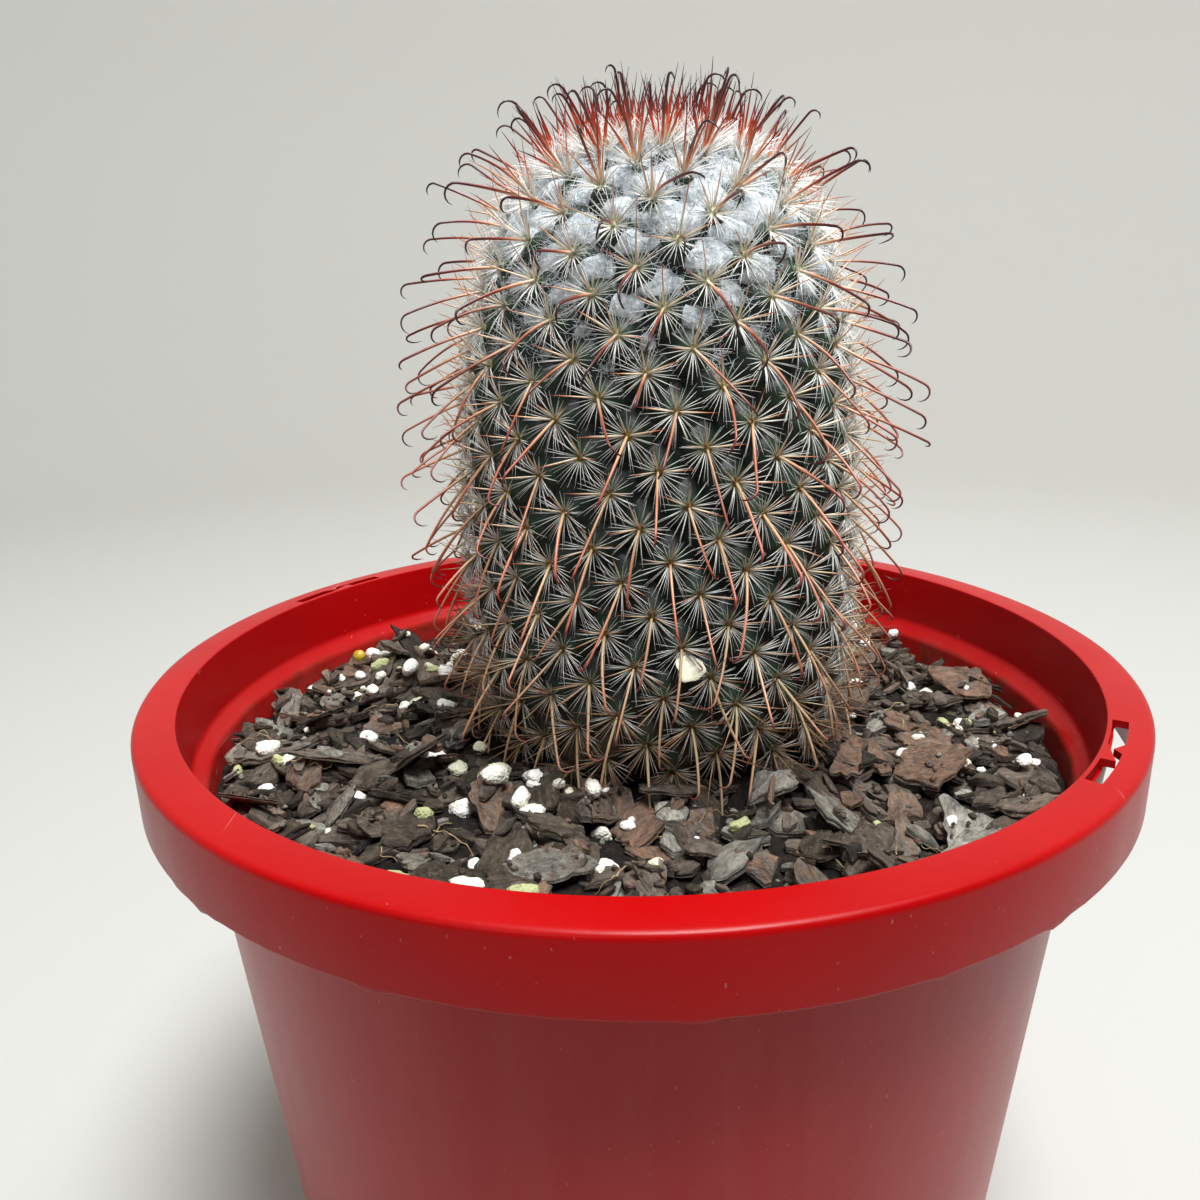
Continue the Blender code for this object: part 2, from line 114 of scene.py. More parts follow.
def many_shells(tops, rings, bottoms):
    """Points and faces of many shells alike, from arrays of shape (n, 3), (n, rows, columns, 3), (n, 3)."""
    n, rows, columns = rings.shape[:3]
    points = np.concatenate((tops[:, None], rings.reshape(n, -1, 3), bottoms[:, None]), 1)
    shift = (np.arange(n) * points.shape[1])[:, None, None]
    quads, tris = shell_faces(rows, columns)
    return points.reshape(-1, 3), (quads[None] + shift).reshape(-1, 4), (tris[None] + shift).reshape(-1, 3)


def unit(vectors):
    """Vectors scaled to length one."""
    return vectors / np.maximum(np.linalg.norm(vectors, axis=-1, keepdims=True), 1e-12)


def around(count):
    """Angles of `count` points evenly round a circle."""
    return TAU * np.arange(count) / count


def turned(radius, angle, height):
    """Points at a radius, an angle and a height about the vertical axis."""
    return np.stack(np.broadcast_arrays(radius * np.cos(angle), radius * np.sin(angle), height), -1)


def tubes(paths, radii, side, sides):
    """Tapered wires: a circle of `sides` points carried along each path, closed by a point at both ends.

    paths is (n, steps, 3) and radii (n, steps). side (n, 3) is a direction the path never runs along;
    the circle stands on (side x tangent) and (tangent x that).
    """
    tangent = unit(np.gradient(paths, axis=1))
    across = unit(np.cross(np.broadcast_to(side[:, None], paths.shape), tangent))
    other = np.cross(tangent, across)
    turn = around(sides)
    circle = across[:, :, None] * np.cos(turn)[None, None, :, None]
    circle = circle + other[:, :, None] * np.sin(turn)[None, None, :, None]
    rings = paths[:, :, None] + radii[:, :, None, None] * circle
    tip = paths[:, -1] + tangent[:, -1] * radii[:, -1:] * 2
    return many_shells(tip, rings[:, ::-1], paths[:, 0])


def wire_piece(name, look, slot, wires, sides, growth=None):
    """A piece of tapered wires, from the (paths, radii, side) that tubes() takes.

    growth holds the wires' ages and a number of each wire's own. The attribute of that name puts before
    them how far along its wire a point is, from 0 to 1.
    """
    points, quads, tris = tubes(*wires, sides)
    fields = {}
    if growth:
        n, steps = wires[1].shape
        share = np.repeat(np.linspace(0, 1, steps)[::-1], sides)
        along = np.tile(np.concatenate(([1.0], share, [0.0])), n)
        fields["growth"] = np.stack((along, *(np.repeat(v, steps * sides + 2) for v in growth)), -1)
    return new_piece(name, points, (quads, tris), look, slot, fields)


def scatter(cells, seed):
    """A repeatable number from 0 to 1 for each whole-number cell of an array (..., 3)."""
    mixed = cells[..., 0] * 374761393 + cells[..., 1] * 668265263 + cells[..., 2] * 2147483647
    mixed = mixed + seed * 974711
    mixed = (mixed ^ (mixed >> 13)) * 1274126177
    mixed = (mixed ^ (mixed >> 16)) & 0xFFFFFF
    return mixed / float(0xFFFFFF)


def noise(points, size, seed=0):
    """Smooth value noise from -1 to 1: numbers on a lattice of the given size, eased between corners."""
    place = np.asarray(points, dtype=np.float64) / size
    cell = np.floor(place).astype(np.int64)
    part = place - cell
    part = part * part * (3 - 2 * part)
    total = np.zeros(place.shape[:-1])
    for corner in range(8):
        step = np.array([corner & 1, (corner >> 1) & 1, corner >> 2])
        weight = np.prod(np.where(step, part, 1 - part), axis=-1)
        total += weight * scatter(cell + step, seed)
    return 2 * total - 1


def rough(points, size, seed=0, octaves=3):
    """Value noise at several sizes, each half the size and half the strength of the one before."""
    total = 0
    for i in range(octaves):
        total = total + noise(points, size / 2 ** i, seed + i) / 2 ** i
    return total


# ---- materials ----


def linear(code):
    """Linear RGBA from an sRGB hex colour."""
    channels = [int(code[i:i + 2], 16) / 255 for i in (1, 3, 5)]
    return tuple(c / 12.92 if c <= 0.04045 else ((c + 0.055) / 1.055) ** 2.4 for c in channels) + (1.0,)


def fill(tree, node, inputs):
    """Set a node's inputs to values, or link them from a socket or from another node's first live output."""
    for key, value in inputs.items():
        if isinstance(value, bpy.types.Node):
            value = next(output for output in value.outputs if output.enabled)
        if isinstance(value, bpy.types.NodeSocket):
            tree.links.new(value, node.inputs[key])
        else:
            node.inputs[key].default_value = value


def add_node(tree, kind, inputs=None, stops=(), **settings):
    """Add a node, and set its settings, its inputs and, on a ramp, its (position, hex colour) stops."""
    node = tree.nodes.new("ShaderNode" + kind)
    for key, value in settings.items():
        setattr(node, key, value)
    for _ in stops[2:]:
        node.color_ramp.elements.new(0.5)
    for i, (position, code) in enumerate(stops):
        node.color_ramp.elements[i].position = position
        node.color_ramp.elements[i].color = linear(code)
    fill(tree, node, inputs or {})
    return node


def start_material(name):
    """A new node material, and add_node for its tree."""
    made = bpy.data.materials.new(name)
    made.use_nodes = True
    return made, partial(add_node, made.node_tree)


def finish_look(made, colour, roughness, relief=None, ior=1.5, specular=0.5, sheen=0.0):
    """Wire a colour and a relief (height, strength, depth) into the shader, and set its constants."""
    tree = made.node_tree
    inputs = {"Base Color": colour, "Roughness": roughness, "IOR": ior, "Specular IOR Level": specular,
              "Sheen Weight": sheen}
    if relief:
        height, strength, depth = relief
        inputs["Normal"] = add_node(tree, "Bump", {"Height": height, "Strength": strength, "Distance": depth})
    fill(tree, tree.nodes["Principled BSDF"], inputs)
    return made


def polypropylene():
    """Moulded polypropylene, bright red: satin gloss under thin dust, hair scratches and pale scuffs."""
    made, add = start_material("moulded_red_polypropylene")
    place = add("TexCoord").outputs["Object"]
    height = add("SeparateXYZ", {"Vector": place}).outputs["Z"]
    cloud = add("TexNoise", {"Vector": place, "Scale": 22.0, "Detail": 4.0})
    base = add("ValToRGB", {"Fac": cloud}, [(0.3, "#9A0003"), (0.7, "#A60103")])
    # dust that has run down the outside of the body, below the skirt
    stretch = add("Mapping", {"Vector": place, "Scale": (90.0, 90.0, 9.0)})
    streak = add("TexNoise", {"Vector": stretch, "Scale": 1.0, "Detail": 5.0, "Roughness": 0.65})
    below = add("MapRange", {"Value": height, "From Min": POT_TOP - 12 * MM, "From Max": POT_TOP - 18 * MM})
    film = add("MapRange", {"Value": streak, "From Min": 0.35, "From Max": 0.8,
                            "To Min": 0.01, "To Max": 0.07})
    dust = add("Math", {0: below, 1: film}, operation="MULTIPLY")
    # specks, and hair scratches: noise drawn out along three directions, kept only at its crests
    specks = add("TexNoise", {"Vector": place, "Scale": 800.0, "Detail": 2.0})
    marks = add("MapRange", {"Value": specks, "From Min": 0.76, "From Max": 0.82, "To Max": 0.22})
    for turn, scale in (((0.2, 0.1, 0.5), (1300.0, 30.0, 600.0)), ((0.1, 0.3, 1.9), (1100.0, 24.0, 500.0)),
                        ((0.5, 0.2, 2.7), (1500.0, 36.0, 700.0))):
        drawn = add("Mapping", {"Vector": place, "Rotation": turn, "Scale": scale})
        lines = add("TexNoise", {"Vector": drawn, "Scale": 1.0, "Detail": 1.0})
        scratch = add("MapRange", {"Value": lines, "From Min": 0.785, "From Max": 0.81, "To Max": 0.22})
        marks = add("Math", {0: marks, 1: scratch}, operation="MAXIMUM")
    amount = add("Math", {0: dust, 1: marks}, operation="MAXIMUM")
    dusty = add("Mix", {"Factor": amount, "A": base, "B": linear("#D9A79C")}, data_type="RGBA")
    # splashed fines: a brown film on the inside, just above the mix
    level = add("VectorMath", {0: place, 1: (1.0, 1.0, 0.0)}, operation="MULTIPLY")
    axis_gap = add("VectorMath", {0: level}, operation="LENGTH")
    inside = add("Math", {0: axis_gap, 1: RIM_RADIUS - 11.3 * MM}, operation="LESS_THAN")
    upper = add("Math", {0: height, 1: POT_TOP - 24 * MM}, operation="GREATER_THAN")
    low = add("MapRange", {"Value": height, "From Min": POT_TOP - 6 * MM, "From Max": POT_TOP - 17 * MM})
    blots = add("TexNoise", {"Vector": place, "Scale": 130.0, "Detail": 6.0, "Roughness": 0.75})
    grime = add("MapRange", {"Value": blots, "From Min": 0.44, "From Max": 0.66, "To Max": 0.75})
    for mask in (low, inside, upper):
        grime = add("Math", {0: mask, 1: grime}, operation="MULTIPLY")
    colour = add("Mix", {"Factor": grime, "A": dusty, "B": linear("#4A2A18")}, data_type="RGBA")
    gloss = add("MapRange", {"Value": streak, "To Min": 0.24, "To Max": 0.42})
    fine = add("TexNoise", {"Vector": place, "Scale": 420.0, "Detail": 3.0})
    rise = add("Math", {0: fine, 1: marks}, operation="SUBTRACT")
    return finish_look(made, colour, gloss, (rise, 0.08, 0.4 * MM), ior=1.49, specular=0.2)


def cactus_skin():
    """Living cactus skin: dark blue-green wax with pin-prick pale dots, and painted shade: darkened into the
    creases so the tubercles' tips stand paler.
    """
    made, add = start_material("waxy_cactus_skin")
    place = add("TexCoord").outputs["Object"]
    growth = add("Attribute", attribute_name="growth").outputs["Vector"]
    tip, age, _ = add("SeparateXYZ", {"Vector": growth}).outputs
    # painted shade: the colour runs from nearly black in the creases between tubercles to paler on their tips
    skin = add("ValToRGB", {"Fac": tip}, [(0.0, "#08130E"), (0.45, "#14281C"), (0.85, "#2C4830"),
                                          (1.0, "#4A5A3A")])
    dots = add("TexVoronoi", {"Vector": place, "Scale": 2600.0})
    pale = add("MapRange", {"Value": dots, "From Min": 0.10, "From Max": 0.22, "To Min": 0.35, "To Max": 0.0})
    dotted = add("Mix", {"Factor": pale, "A": skin, "B": linear("#8FA088")}, data_type="RGBA")
    corky = add("Mix", {"Factor": age, "A": dotted, "B": linear("#4A3A26")}, data_type="RGBA")
    grain = add("TexNoise", {"Vector": place, "Scale": 1500.0})
    return finish_look(made, corky, 0.48, (grain, 0.25, 0.3 * MM), ior=1.45)


def spine_horn(name, young, middle, old, bands):
    """Spine horn: glossy, translucent keratin-like needles, with a colour that runs from base to tip.

    young, middle and old are ramps for spines near the crown, half way down and near the mix, and
    bands holds the ages between which one ramp passes into the next. The growth attribute holds
    (how far along the spine, how old, which of its neighbours it is).
    """
    made, add = start_material(name)
    growth = add("Attribute", attribute_name="growth").outputs["Vector"]
    along, age, which = add("SeparateXYZ", {"Vector": growth}).outputs
    first, second, third = [add("ValToRGB", {"Fac": along}, stops) for stops in (young, middle, old)]
    early = add("MapRange", {"Value": age, "From Min": bands[0], "From Max": bands[1]})
    late = add("MapRange", {"Value": age, "From Min": bands[2], "From Max": bands[3]})
    mixed = add("Mix", {"Factor": early, "A": first, "B": second}, data_type="RGBA")
    mixed = add("Mix", {"Factor": late, "A": mixed, "B": third}, data_type="RGBA")
    value = add("MapRange", {"Value": which, "To Min": 0.78, "To Max": 1.16})
    shade = add("HueSaturation", {"Color": mixed, "Value": value})
    return finish_look(made, shade, 0.36, ior=1.54)


def cotton_wool():
    """Axil wool: matt white cellulose hairs, soft, with painted shade: slightly blue-grey noise patches, as
    if the hairs shaded each other.
    """
    made, add = start_material("axil_wool")
    place = add("TexCoord").outputs["Object"]
    fluff = add("TexNoise", {"Vector": place, "Scale": 700.0, "Detail": 4.0, "Roughness": 0.7})
    # painted shade: the blue-grey end of the ramp, laid in noise patches over the white
    tone = add("ValToRGB", {"Fac": fluff}, [(0.3, "#A9B5BA"), (0.62, "#EEF4F6")])
    return finish_look(made, tone, 0.95, (fluff, 0.8, 0.8 * MM), specular=0.15, sheen=0.5)


def areole_felt():
    """Areole felt: a pad of short matted hairs, cream while young and amber brown when old."""
    made, add = start_material("matted_areole_felt")
    place = add("TexCoord").outputs["Object"]
    growth = add("Attribute", attribute_name="growth").outputs["Vector"]
    age = add("SeparateXYZ", {"Vector": growth}).outputs["Y"]
    tone = add("ValToRGB", {"Fac": age}, [(0.2, "#E2E3C4"), (0.36, "#B9B583"), (0.5, "#8E7438"),
                                          (1.0, "#5E4526")])
    fibre = add("TexNoise", {"Vector": place, "Scale": 2600.0, "Detail": 3.0})
    value = add("MapRange", {"Value": fibre, "To Min": 0.45, "To Max": 1.35})
    shade = add("HueSaturation", {"Color": tone, "Value": value})
    return finish_look(made, shade, 0.9, (fibre, 1.0, 0.4 * MM), specular=0.2)


def pine_bark():
    """Composted pine bark: thin torn layers in dark browns and brown greys, with grain along each flake."""
    made, add = start_material("composted_pine_bark")
    local = add("Attribute", attribute_name="flake").outputs["Vector"]
    tone = add("Attribute", attribute_name="tone").outputs["Vector"]
    own = add("SeparateXYZ", {"Vector": tone}).outputs["X"]
    mottle = add("TexNoise", {"Vector": local, "Scale": 0.55, "Detail": 7.0, "Roughness": 0.72})
    drift = add("Math", {0: mottle, 1: 0.5}, operation="SUBTRACT")
    shift = add("Math", {0: drift, 1: 0.55, 2: own}, operation="MULTIPLY_ADD")
    base = add("ValToRGB", {"Fac": shift}, [(0.0, "#26211B"), (0.2, "#463C2E"), (0.38, "#64574A"),
                                            (0.52, "#786A5D"), (0.6, "#82604A"), (0.7, "#7A7569"),
                                            (0.85, "#A09B8F"), (1.0, "#C2BBAC")])
    # torn layers about 0.4 mm thick, and grain drawn out along the flake
    squeeze = add("Mapping", {"Vector": local, "Scale": (0.25, 0.4, 3.0)})
    layer = add("TexNoise", {"Vector": squeeze, "Scale": 1.0, "Detail": 5.0, "Roughness": 0.6})
    drawn = add("Mapping", {"Vector": local, "Scale": (0.75, 1.7, 1.7)})
    grain = add("TexNoise", {"Vector": drawn, "Scale": 1.0, "Detail": 6.0, "Roughness": 0.7})
    both = add("Math", {0: layer, 1: grain}, operation="ADD")
    value = add("MapRange", {"Value": both, "From Min": 0.75, "From Max": 1.25,
                             "To Min": 0.26, "To Max": 1.38})
    shade = add("HueSaturation", {"Color": base, "Value": value})
    worn = add("MapRange", {"Value": grain, "From Min": 0.58, "From Max": 0.72, "To Max": 0.5})
    pale = add("Mix", {"Factor": worn, "A": shade, "B": linear("#8F8579")}, data_type="RGBA")
    return finish_look(made, pale, 0.66, (both, 1.0, 0.9 * MM), specular=0.35)


def potting_fines():
    """Fines of the mix: damp, nearly black crumbs of bark and peat."""
    made, add = start_material("damp_potting_fines")
    place = add("TexCoord").outputs["Object"]
    crumbs = add("TexNoise", {"Vector": place, "Scale": 650.0, "Detail": 6.0, "Roughness": 0.7})
    tone = add("ValToRGB", {"Fac": crumbs}, [(0.35, "#0E0B09"), (0.55, "#221A15"), (0.72, "#42352B")])
    return finish_look(made, tone, 0.92, (crumbs, 1.0, 1.2 * MM), specular=0.25)


def expanded_perlite():
    """Expanded perlite: brittle white volcanic foam, matt, with small pits, some grains stained."""
    made, add = start_material("expanded_perlite")
    place = add("TexCoord").outputs["Object"]
    tone = add("Attribute", attribute_name="tone").outputs["Vector"]
    own = add("SeparateXYZ", {"Vector": tone}).outputs["X"]
    base = add("ValToRGB", {"Fac": own}, [(0.0, "#F2EFE6"), (0.6, "#E2DDCD"), (0.8, "#C9C8A6"),
                                          (1.0, "#A9AC7C")])
    pits = add("TexVoronoi", {"Vector": place, "Scale": 1900.0})
    value = add("MapRange", {"Value": pits, "From Min": 0.05, "From Max": 0.4,
                             "To Min": 0.72, "To Max": 1.05})
    shade = add("HueSaturation", {"Color": base, "Value": value})
    return finish_look(made, shade, 0.85, (pits, 0.7, 0.4 * MM), specular=0.25)


def plain_look(name, low, high, scale, roughness):
    """Two close colours mottled by noise, for small pale or dark things."""
    made, add = start_material(name)
    place = add("TexCoord").outputs["Object"]
    cloud = add("TexNoise", {"Vector": place, "Scale": scale, "Detail": 3.0})
    tone = add("ValToRGB", {"Fac": cloud}, [(0.35, low), (0.65, high)])
    return finish_look(made, tone, roughness, (cloud, 0.4, 0.3 * MM), specular=0.4)


RED_POT = polypropylene()
SKIN = cactus_skin()
HOOKED_HORN = spine_horn(
    "hooked_spine_horn",
    [(0.0, "#F1E6D0"), (0.12, "#D99A74"), (0.26, "#8F3620"), (0.45, "#521818"), (0.72, "#2E1218"),
     (1.0, "#1A1012")],
    [(0.0, "#DDBB8C"), (0.3, "#C4795A"), (0.6, "#9C3F34"), (0.85, "#551C20"), (1.0, "#2A1216")],
    [(0.0, "#E2D2A6"), (0.45, "#C0A07C"), (0.75, "#8C5A48"), (1.0, "#4A2622")], (0.36, 0.58, 0.64, 1.0))
STRAIGHT_HORN = spine_horn(
    "straight_spine_horn",
    [(0.0, "#F8F0DE"), (0.2, "#F3C49A"), (0.36, "#E0602A"), (0.58, "#B5301A"), (0.8, "#5C1315"),
     (1.0, "#2A0F12")],
    [(0.0, "#F3EAD2"), (0.5, "#EBCBA2"), (0.78, "#C8683F"), (1.0, "#6E2A22")],
    [(0.0, "#A8946C"), (0.5, "#8A6646"), (1.0, "#4E2E22")], (0.15, 0.26, 0.62, 0.95))
RADIAL_HORN = spine_horn(
    "radial_spine_horn",
    [(0.0, "#FBF8EA"), (0.5, "#FEFDF8"), (1.0, "#F8F4EC")],
    [(0.0, "#E0DAB6"), (0.2, "#F2F1E8"), (1.0, "#EDECE4")],
    [(0.0, "#86704A"), (0.3, "#A99C82"), (1.0, "#8E7E66")], (0.22, 0.45, 0.80, 1.04))
WOOL = cotton_wool()
FELT = areole_felt()
BARK = pine_bark()
FINES = potting_fines()
PERLITE = expanded_perlite()
PRILL = plain_look("resin_coated_prill", "#A8871E", "#C9B03C", 900.0, 0.28)
FLAKE = plain_look("papery_dry_flake", "#F0EAC6", "#FFFCE6", 1400.0, 0.75)
STRAW = plain_look("dry_root_fibre", "#7A6244", "#B39A70", 500.0, 0.7)


# ---- the pot ----

BORE = RIM_RADIUS - 7.9 * MM
COLLAR_FOOT = POT_TOP - 12.4 * MM
SHOULDER = POT_TOP - 15.5 * MM
BODY_TOP = RIM_RADIUS - 10.3 * MM
TAPER = 0.086
WALL = 1.5 * MM
FOOT_RECESS = 3.0 * MM
FLOOR_TOP = 5.0 * MM
SKIRT_FOOT = POT_TOP - 13.2 * MM


def body_radius(z):
    """Outer radius of the tapered wall at a height."""
    return BODY_TOP - TAPER * (SHOULDER - z)


def rounded(corners):
    """A profile with its corners rounded: each corner is (radius, height, rounding).

    A corner with rounding is replaced by a quadratic curve between the points that lie that far from
    it along both its edges.
    """
    places = np.array([c[:2] for c in corners])
    outline = [places[:1]]
    for i in range(1, len(corners) - 1):
        size = corners[i][2]
        if size == 0:
            outline.append(places[i:i + 1])
            continue
        before = places[i] + unit(places[i - 1] - places[i]) * size
        after = places[i] + unit(places[i + 1] - places[i]) * size
        t = np.linspace(0, 1, 6)[:, None]
        outline.append((1 - t) ** 2 * before + 2 * t * (1 - t) * places[i] + t ** 2 * after)
    outline.append(places[-1:])
    return np.concatenate(outline)


def pot_profile():
    """Inside from the floor's centre up to the lip, over the rim, and down the outside to the foot."""
    inner_floor = body_radius(FLOOR_TOP) - WALL
    foot = body_radius(0.0)
    collar_foot = BORE - 1.0 * MM
    skirt_inside = RIM_RADIUS - 1.4 * MM
    under = POT_TOP - 1.4 * MM
    return rounded([
        (0.0, FLOOR_TOP, 0), (inner_floor, FLOOR_TOP, 4 * MM), (body_radius(70 * MM) - WALL, 70 * MM, 0),
        (body_radius(SHOULDER) - WALL, SHOULDER + 0.3 * MM, 0.9 * MM), (collar_foot, COLLAR_FOOT, 0.9 * MM),
        (BORE, POT_TOP, 0.35 * MM), (RIM_RADIUS - 0.2 * MM, POT_TOP - 0.3 * MM, 1.3 * MM),
        (RIM_RADIUS - 0.2 * MM, SKIRT_FOOT, 0.5 * MM), (skirt_inside, SKIRT_FOOT, 0.3 * MM),
        (skirt_inside, under - 0.2 * MM, 1.0 * MM), (BORE + 1.3 * MM, under, 0.5 * MM),
        (collar_foot + 1.3 * MM, COLLAR_FOOT - 0.6 * MM, 0.9 * MM), (BODY_TOP, SHOULDER - 0.6 * MM, 0.9 * MM),
        (body_radius(70 * MM), 70 * MM, 0), (foot, 0.0, 1.3 * MM), (foot - 3.5 * MM, 0.0, 0.3 * MM),
        (foot - 4.3 * MM, FOOT_RECESS, 0.3 * MM), (0.0, FOOT_RECESS, 0)])


def ring_segment(centre, half, inner, outer, inner_tooth=None, outer_tooth=None):
    """Outline of a ring segment round an angle. A tooth is three (angle, radius) points on one edge."""
    sweep = np.linspace(-half, half, 9)
    edges = []
    for radius, tooth, order in ((outer, outer_tooth, 1), (inner, inner_tooth, -1)):
        edge = np.stack((sweep, np.full(9, radius)), -1)
        if tooth is not None:
            tooth = np.array(tooth)
            edge = np.concatenate((edge[sweep < tooth[0, 0]], tooth, edge[sweep > tooth[2, 0]]))
        edges.append(edge[::order])
    outline = np.concatenate(edges)
    angle = centre + outline[:, 0]
    return np.stack((outline[:, 1] * np.cos(angle), outline[:, 1] * np.sin(angle)), -1)


def prism(name, outlines, low, high):
    """A cutter: each outline swept from low to high, with its two ends filled."""
    points, faces, start = [], [], 0
    for outline in outlines:
        n = len(outline)
        for z in (low, high):
            points += [(x, y, z) for x, y in outline]
        faces.append(tuple(range(start + n - 1, start - 1, -1)))
        faces.append(tuple(range(start + n, start + 2 * n)))
        after = [(i + 1) % n for i in range(n)]
        faces += [(start + i, start + after[i], start + n + after[i], start + n + i) for i in range(n)]
        start += 2 * n
    mesh = bpy.data.meshes.new(name)
    mesh.from_pydata(points, [], faces)
    cutter = bpy.data.objects.new(name, mesh)
    bpy.context.scene.collection.objects.link(cutter)
    return cutter


def make_pot():
    """The pot: its profile turned round the axis, with a ragged skirt edge, hanger slots and drain slots."""
    columns = 288
    profile = pot_profile()
    angle = around(columns)
    radius = np.broadcast_to(profile[1:-1, :1], (len(profile) - 2, columns)).copy()
    height = np.broadcast_to(profile[1:-1, 1:], radius.shape).copy()
    round_trip = turned(1, angle, 0)
    # the skirt is never quite round, and its parting edge carries a little torn flash
    outer = np.clip((radius - BORE) / (RIM_RADIUS - BORE), 0, 1) * (height > SHOULDER)
    radius += outer * 0.12 * MM * (noise(round_trip, 0.5, 3) + 0.5 * noise(round_trip, 0.2, 4))[None]
    edge = (np.abs(height - SKIRT_FOOT) < 0.4 * MM) & (radius > BORE + 4 * MM)
    tear = np.clip(rough(round_trip, 0.06, 5) - 0.35, 0, 1) + 0.12 * np.abs(rough(round_trip, 0.02, 8))
    height -= edge * 0.9 * MM * tear[None]
    points = shell_points((0, 0, FLOOR_TOP), turned(radius, angle, height), (0, 0, FOOT_RECESS))
    raw = new_piece("pot_blank", points, shell_faces(*radius.shape), RED_POT, None)
    degree = math.radians(1)
    inner, outer_edge = BORE + 0.8 * MM, BORE + 3.4 * MM
    lip_tooth = [(-2.6 * degree, inner), (-2.4 * degree, outer_edge - 0.35 * MM), (1.6 * degree, inner)]
    rim_tooth = [(-0.4 * degree, outer_edge), (0.4 * degree, inner + 1.15 * MM), (2.1 * degree, outer_edge)]
    slots = [ring_segment(math.radians(a), 8.2 * degree, inner, outer_edge, lip_tooth, rim_tooth)
             for a in (-33.0, 147.0)]
    drains = [ring_segment(TAU * i / 8, 7.5 / 62.0, 60.2 * MM, 63.8 * MM) for i in range(8)]
    cutters = [prism("slot_cutter", slots, POT_TOP - 2.2 * MM, POT_TOP + 1 * MM),
               prism("drain_cutter", drains, FOOT_RECESS - 1 * MM, FLOOR_TOP + 1 * MM)]
    for cutter in cutters:
        boolean = raw.modifiers.new("cut", "BOOLEAN")
        boolean.object = cutter
    mesh = bpy.data.meshes.new_from_object(raw.evaluated_get(bpy.context.evaluated_depsgraph_get()))
    for spare in (raw, *cutters):
        bpy.data.objects.remove(spare, do_unlink=True)
    mesh.set_sharp_from_angle(angle=math.radians(40))
    pot = bpy.data.objects.new("moulded_pot", mesh)
    bpy.context.scene.collection.objects.link(pot)
    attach(pot, "root")
    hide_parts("pot")


def nodes_called(start):
    """The CAD nodes whose names begin so."""
    return [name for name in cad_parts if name.startswith(start)]


# ---- the stem and its lattice of tubercles ----

STEM_X = 0.5 * (stem_low[0] + stem_high[0])
STEM_RADIUS = 38.5 * MM
WIDEST = POT_TOP + 12.0 * MM
STEM_TOP = POT_TOP + 98.5 * MM
STEM_NECK = POT_TOP - 40.0 * MM
MIX_LINE = POT_TOP - 13.0 * MM  # where the skin goes under the mix
GOLDEN = math.radians(137.50776)  # the golden angle, from one tubercle to the next
TUBERCLE_AREA = 68 * MM ** 2  # skin under one grown tubercle
HEXAGON_AREA = 2.598  # of a regular hexagon whose corners are 1 from its middle


def stem_radius(z):
    """Radius over the tubercles' tips at a height: a super-ellipse above and below the widest place."""
    above = z >= WIDEST
    reach = np.where(above, STEM_TOP - WIDEST, WIDEST - STEM_NECK)
    power = np.where(above, 3.2, 2.2)
    t = np.clip(np.abs(z - WIDEST) / reach, 0, 1)
    return STEM_RADIUS * (1 - t ** power) ** (1 / power)


meridian_z = np.concatenate((STEM_TOP - np.geomspace(1e-7, 4 * MM, 400),
                             np.linspace(STEM_TOP - 4.02 * MM, STEM_NECK + 0.5 * MM, 3600)))
meridian_r = stem_radius(meridian_z)
meridian_s = np.concatenate(([0.0], np.cumsum(np.hypot(np.diff(meridian_z), np.diff(meridian_r)))))


def skin_per_tubercle(s):
    """Area of skin that one tubercle takes, at a distance from the top: less on the crown."""
    t = np.clip(s / (34 * MM), 0, 1)
    return TUBERCLE_AREA * (0.3 + 0.7 * t * t * (3 - 2 * t))


def on_skin(s, azimuth, lift=0.0):
    """Point on the envelope of the tips, s from the top along the skin, and its out, down and side axes."""
    z = np.interp(s, meridian_s, meridian_z)
    radius = np.interp(s, meridian_s, meridian_r)
    ds = 0.4 * MM
    fall = np.interp(s + ds, meridian_s, meridian_z) - np.interp(s - ds, meridian_s, meridian_z)
    spread = np.interp(s + ds, meridian_s, meridian_r) - np.interp(s - ds, meridian_s, meridian_r)
    size = np.hypot(fall, spread)
    fall, spread = fall / size, spread / size
    cos, sin = np.cos(azimuth), np.sin(azimuth)
    down = np.stack((spread * cos, spread * sin, fall), -1)
    out = np.stack((-fall * cos, -fall * sin, spread), -1)
    side = np.stack((-sin, cos, np.zeros_like(cos)), -1)
    place = np.stack((STEM_X + radius * cos, radius * sin, z), -1) + out * np.asarray(lift)[..., None]
    return place, out, down, side


def lattice():
    """Distances from the top and azimuths of the areoles, one golden angle apart down the stem."""
    band = TAU * 0.5 * (meridian_r[1:] + meridian_r[:-1]) * np.diff(meridian_s)
    count = np.cumsum(np.concatenate(([0.0], band / skin_per_tubercle(meridian_s[1:]))))
    k = np.arange(int(np.interp(-MIX_LINE, -meridian_z, count)))
    return np.interp(k + 0.5, count, meridian_s), math.radians(22.0) + k * GOLDEN


areole_s, areole_az = lattice()
areole_at, areole_out, areole_down, areole_side = on_skin(areole_s, areole_az)
areole_cell = np.sqrt(skin_per_tubercle(areole_s) / HEXAGON_AREA)
STEM_ARC = float(np.interp(-MIX_LINE, -meridian_z, meridian_s))
areole_age = areole_s / STEM_ARC
AREOLES = len(areole_s)


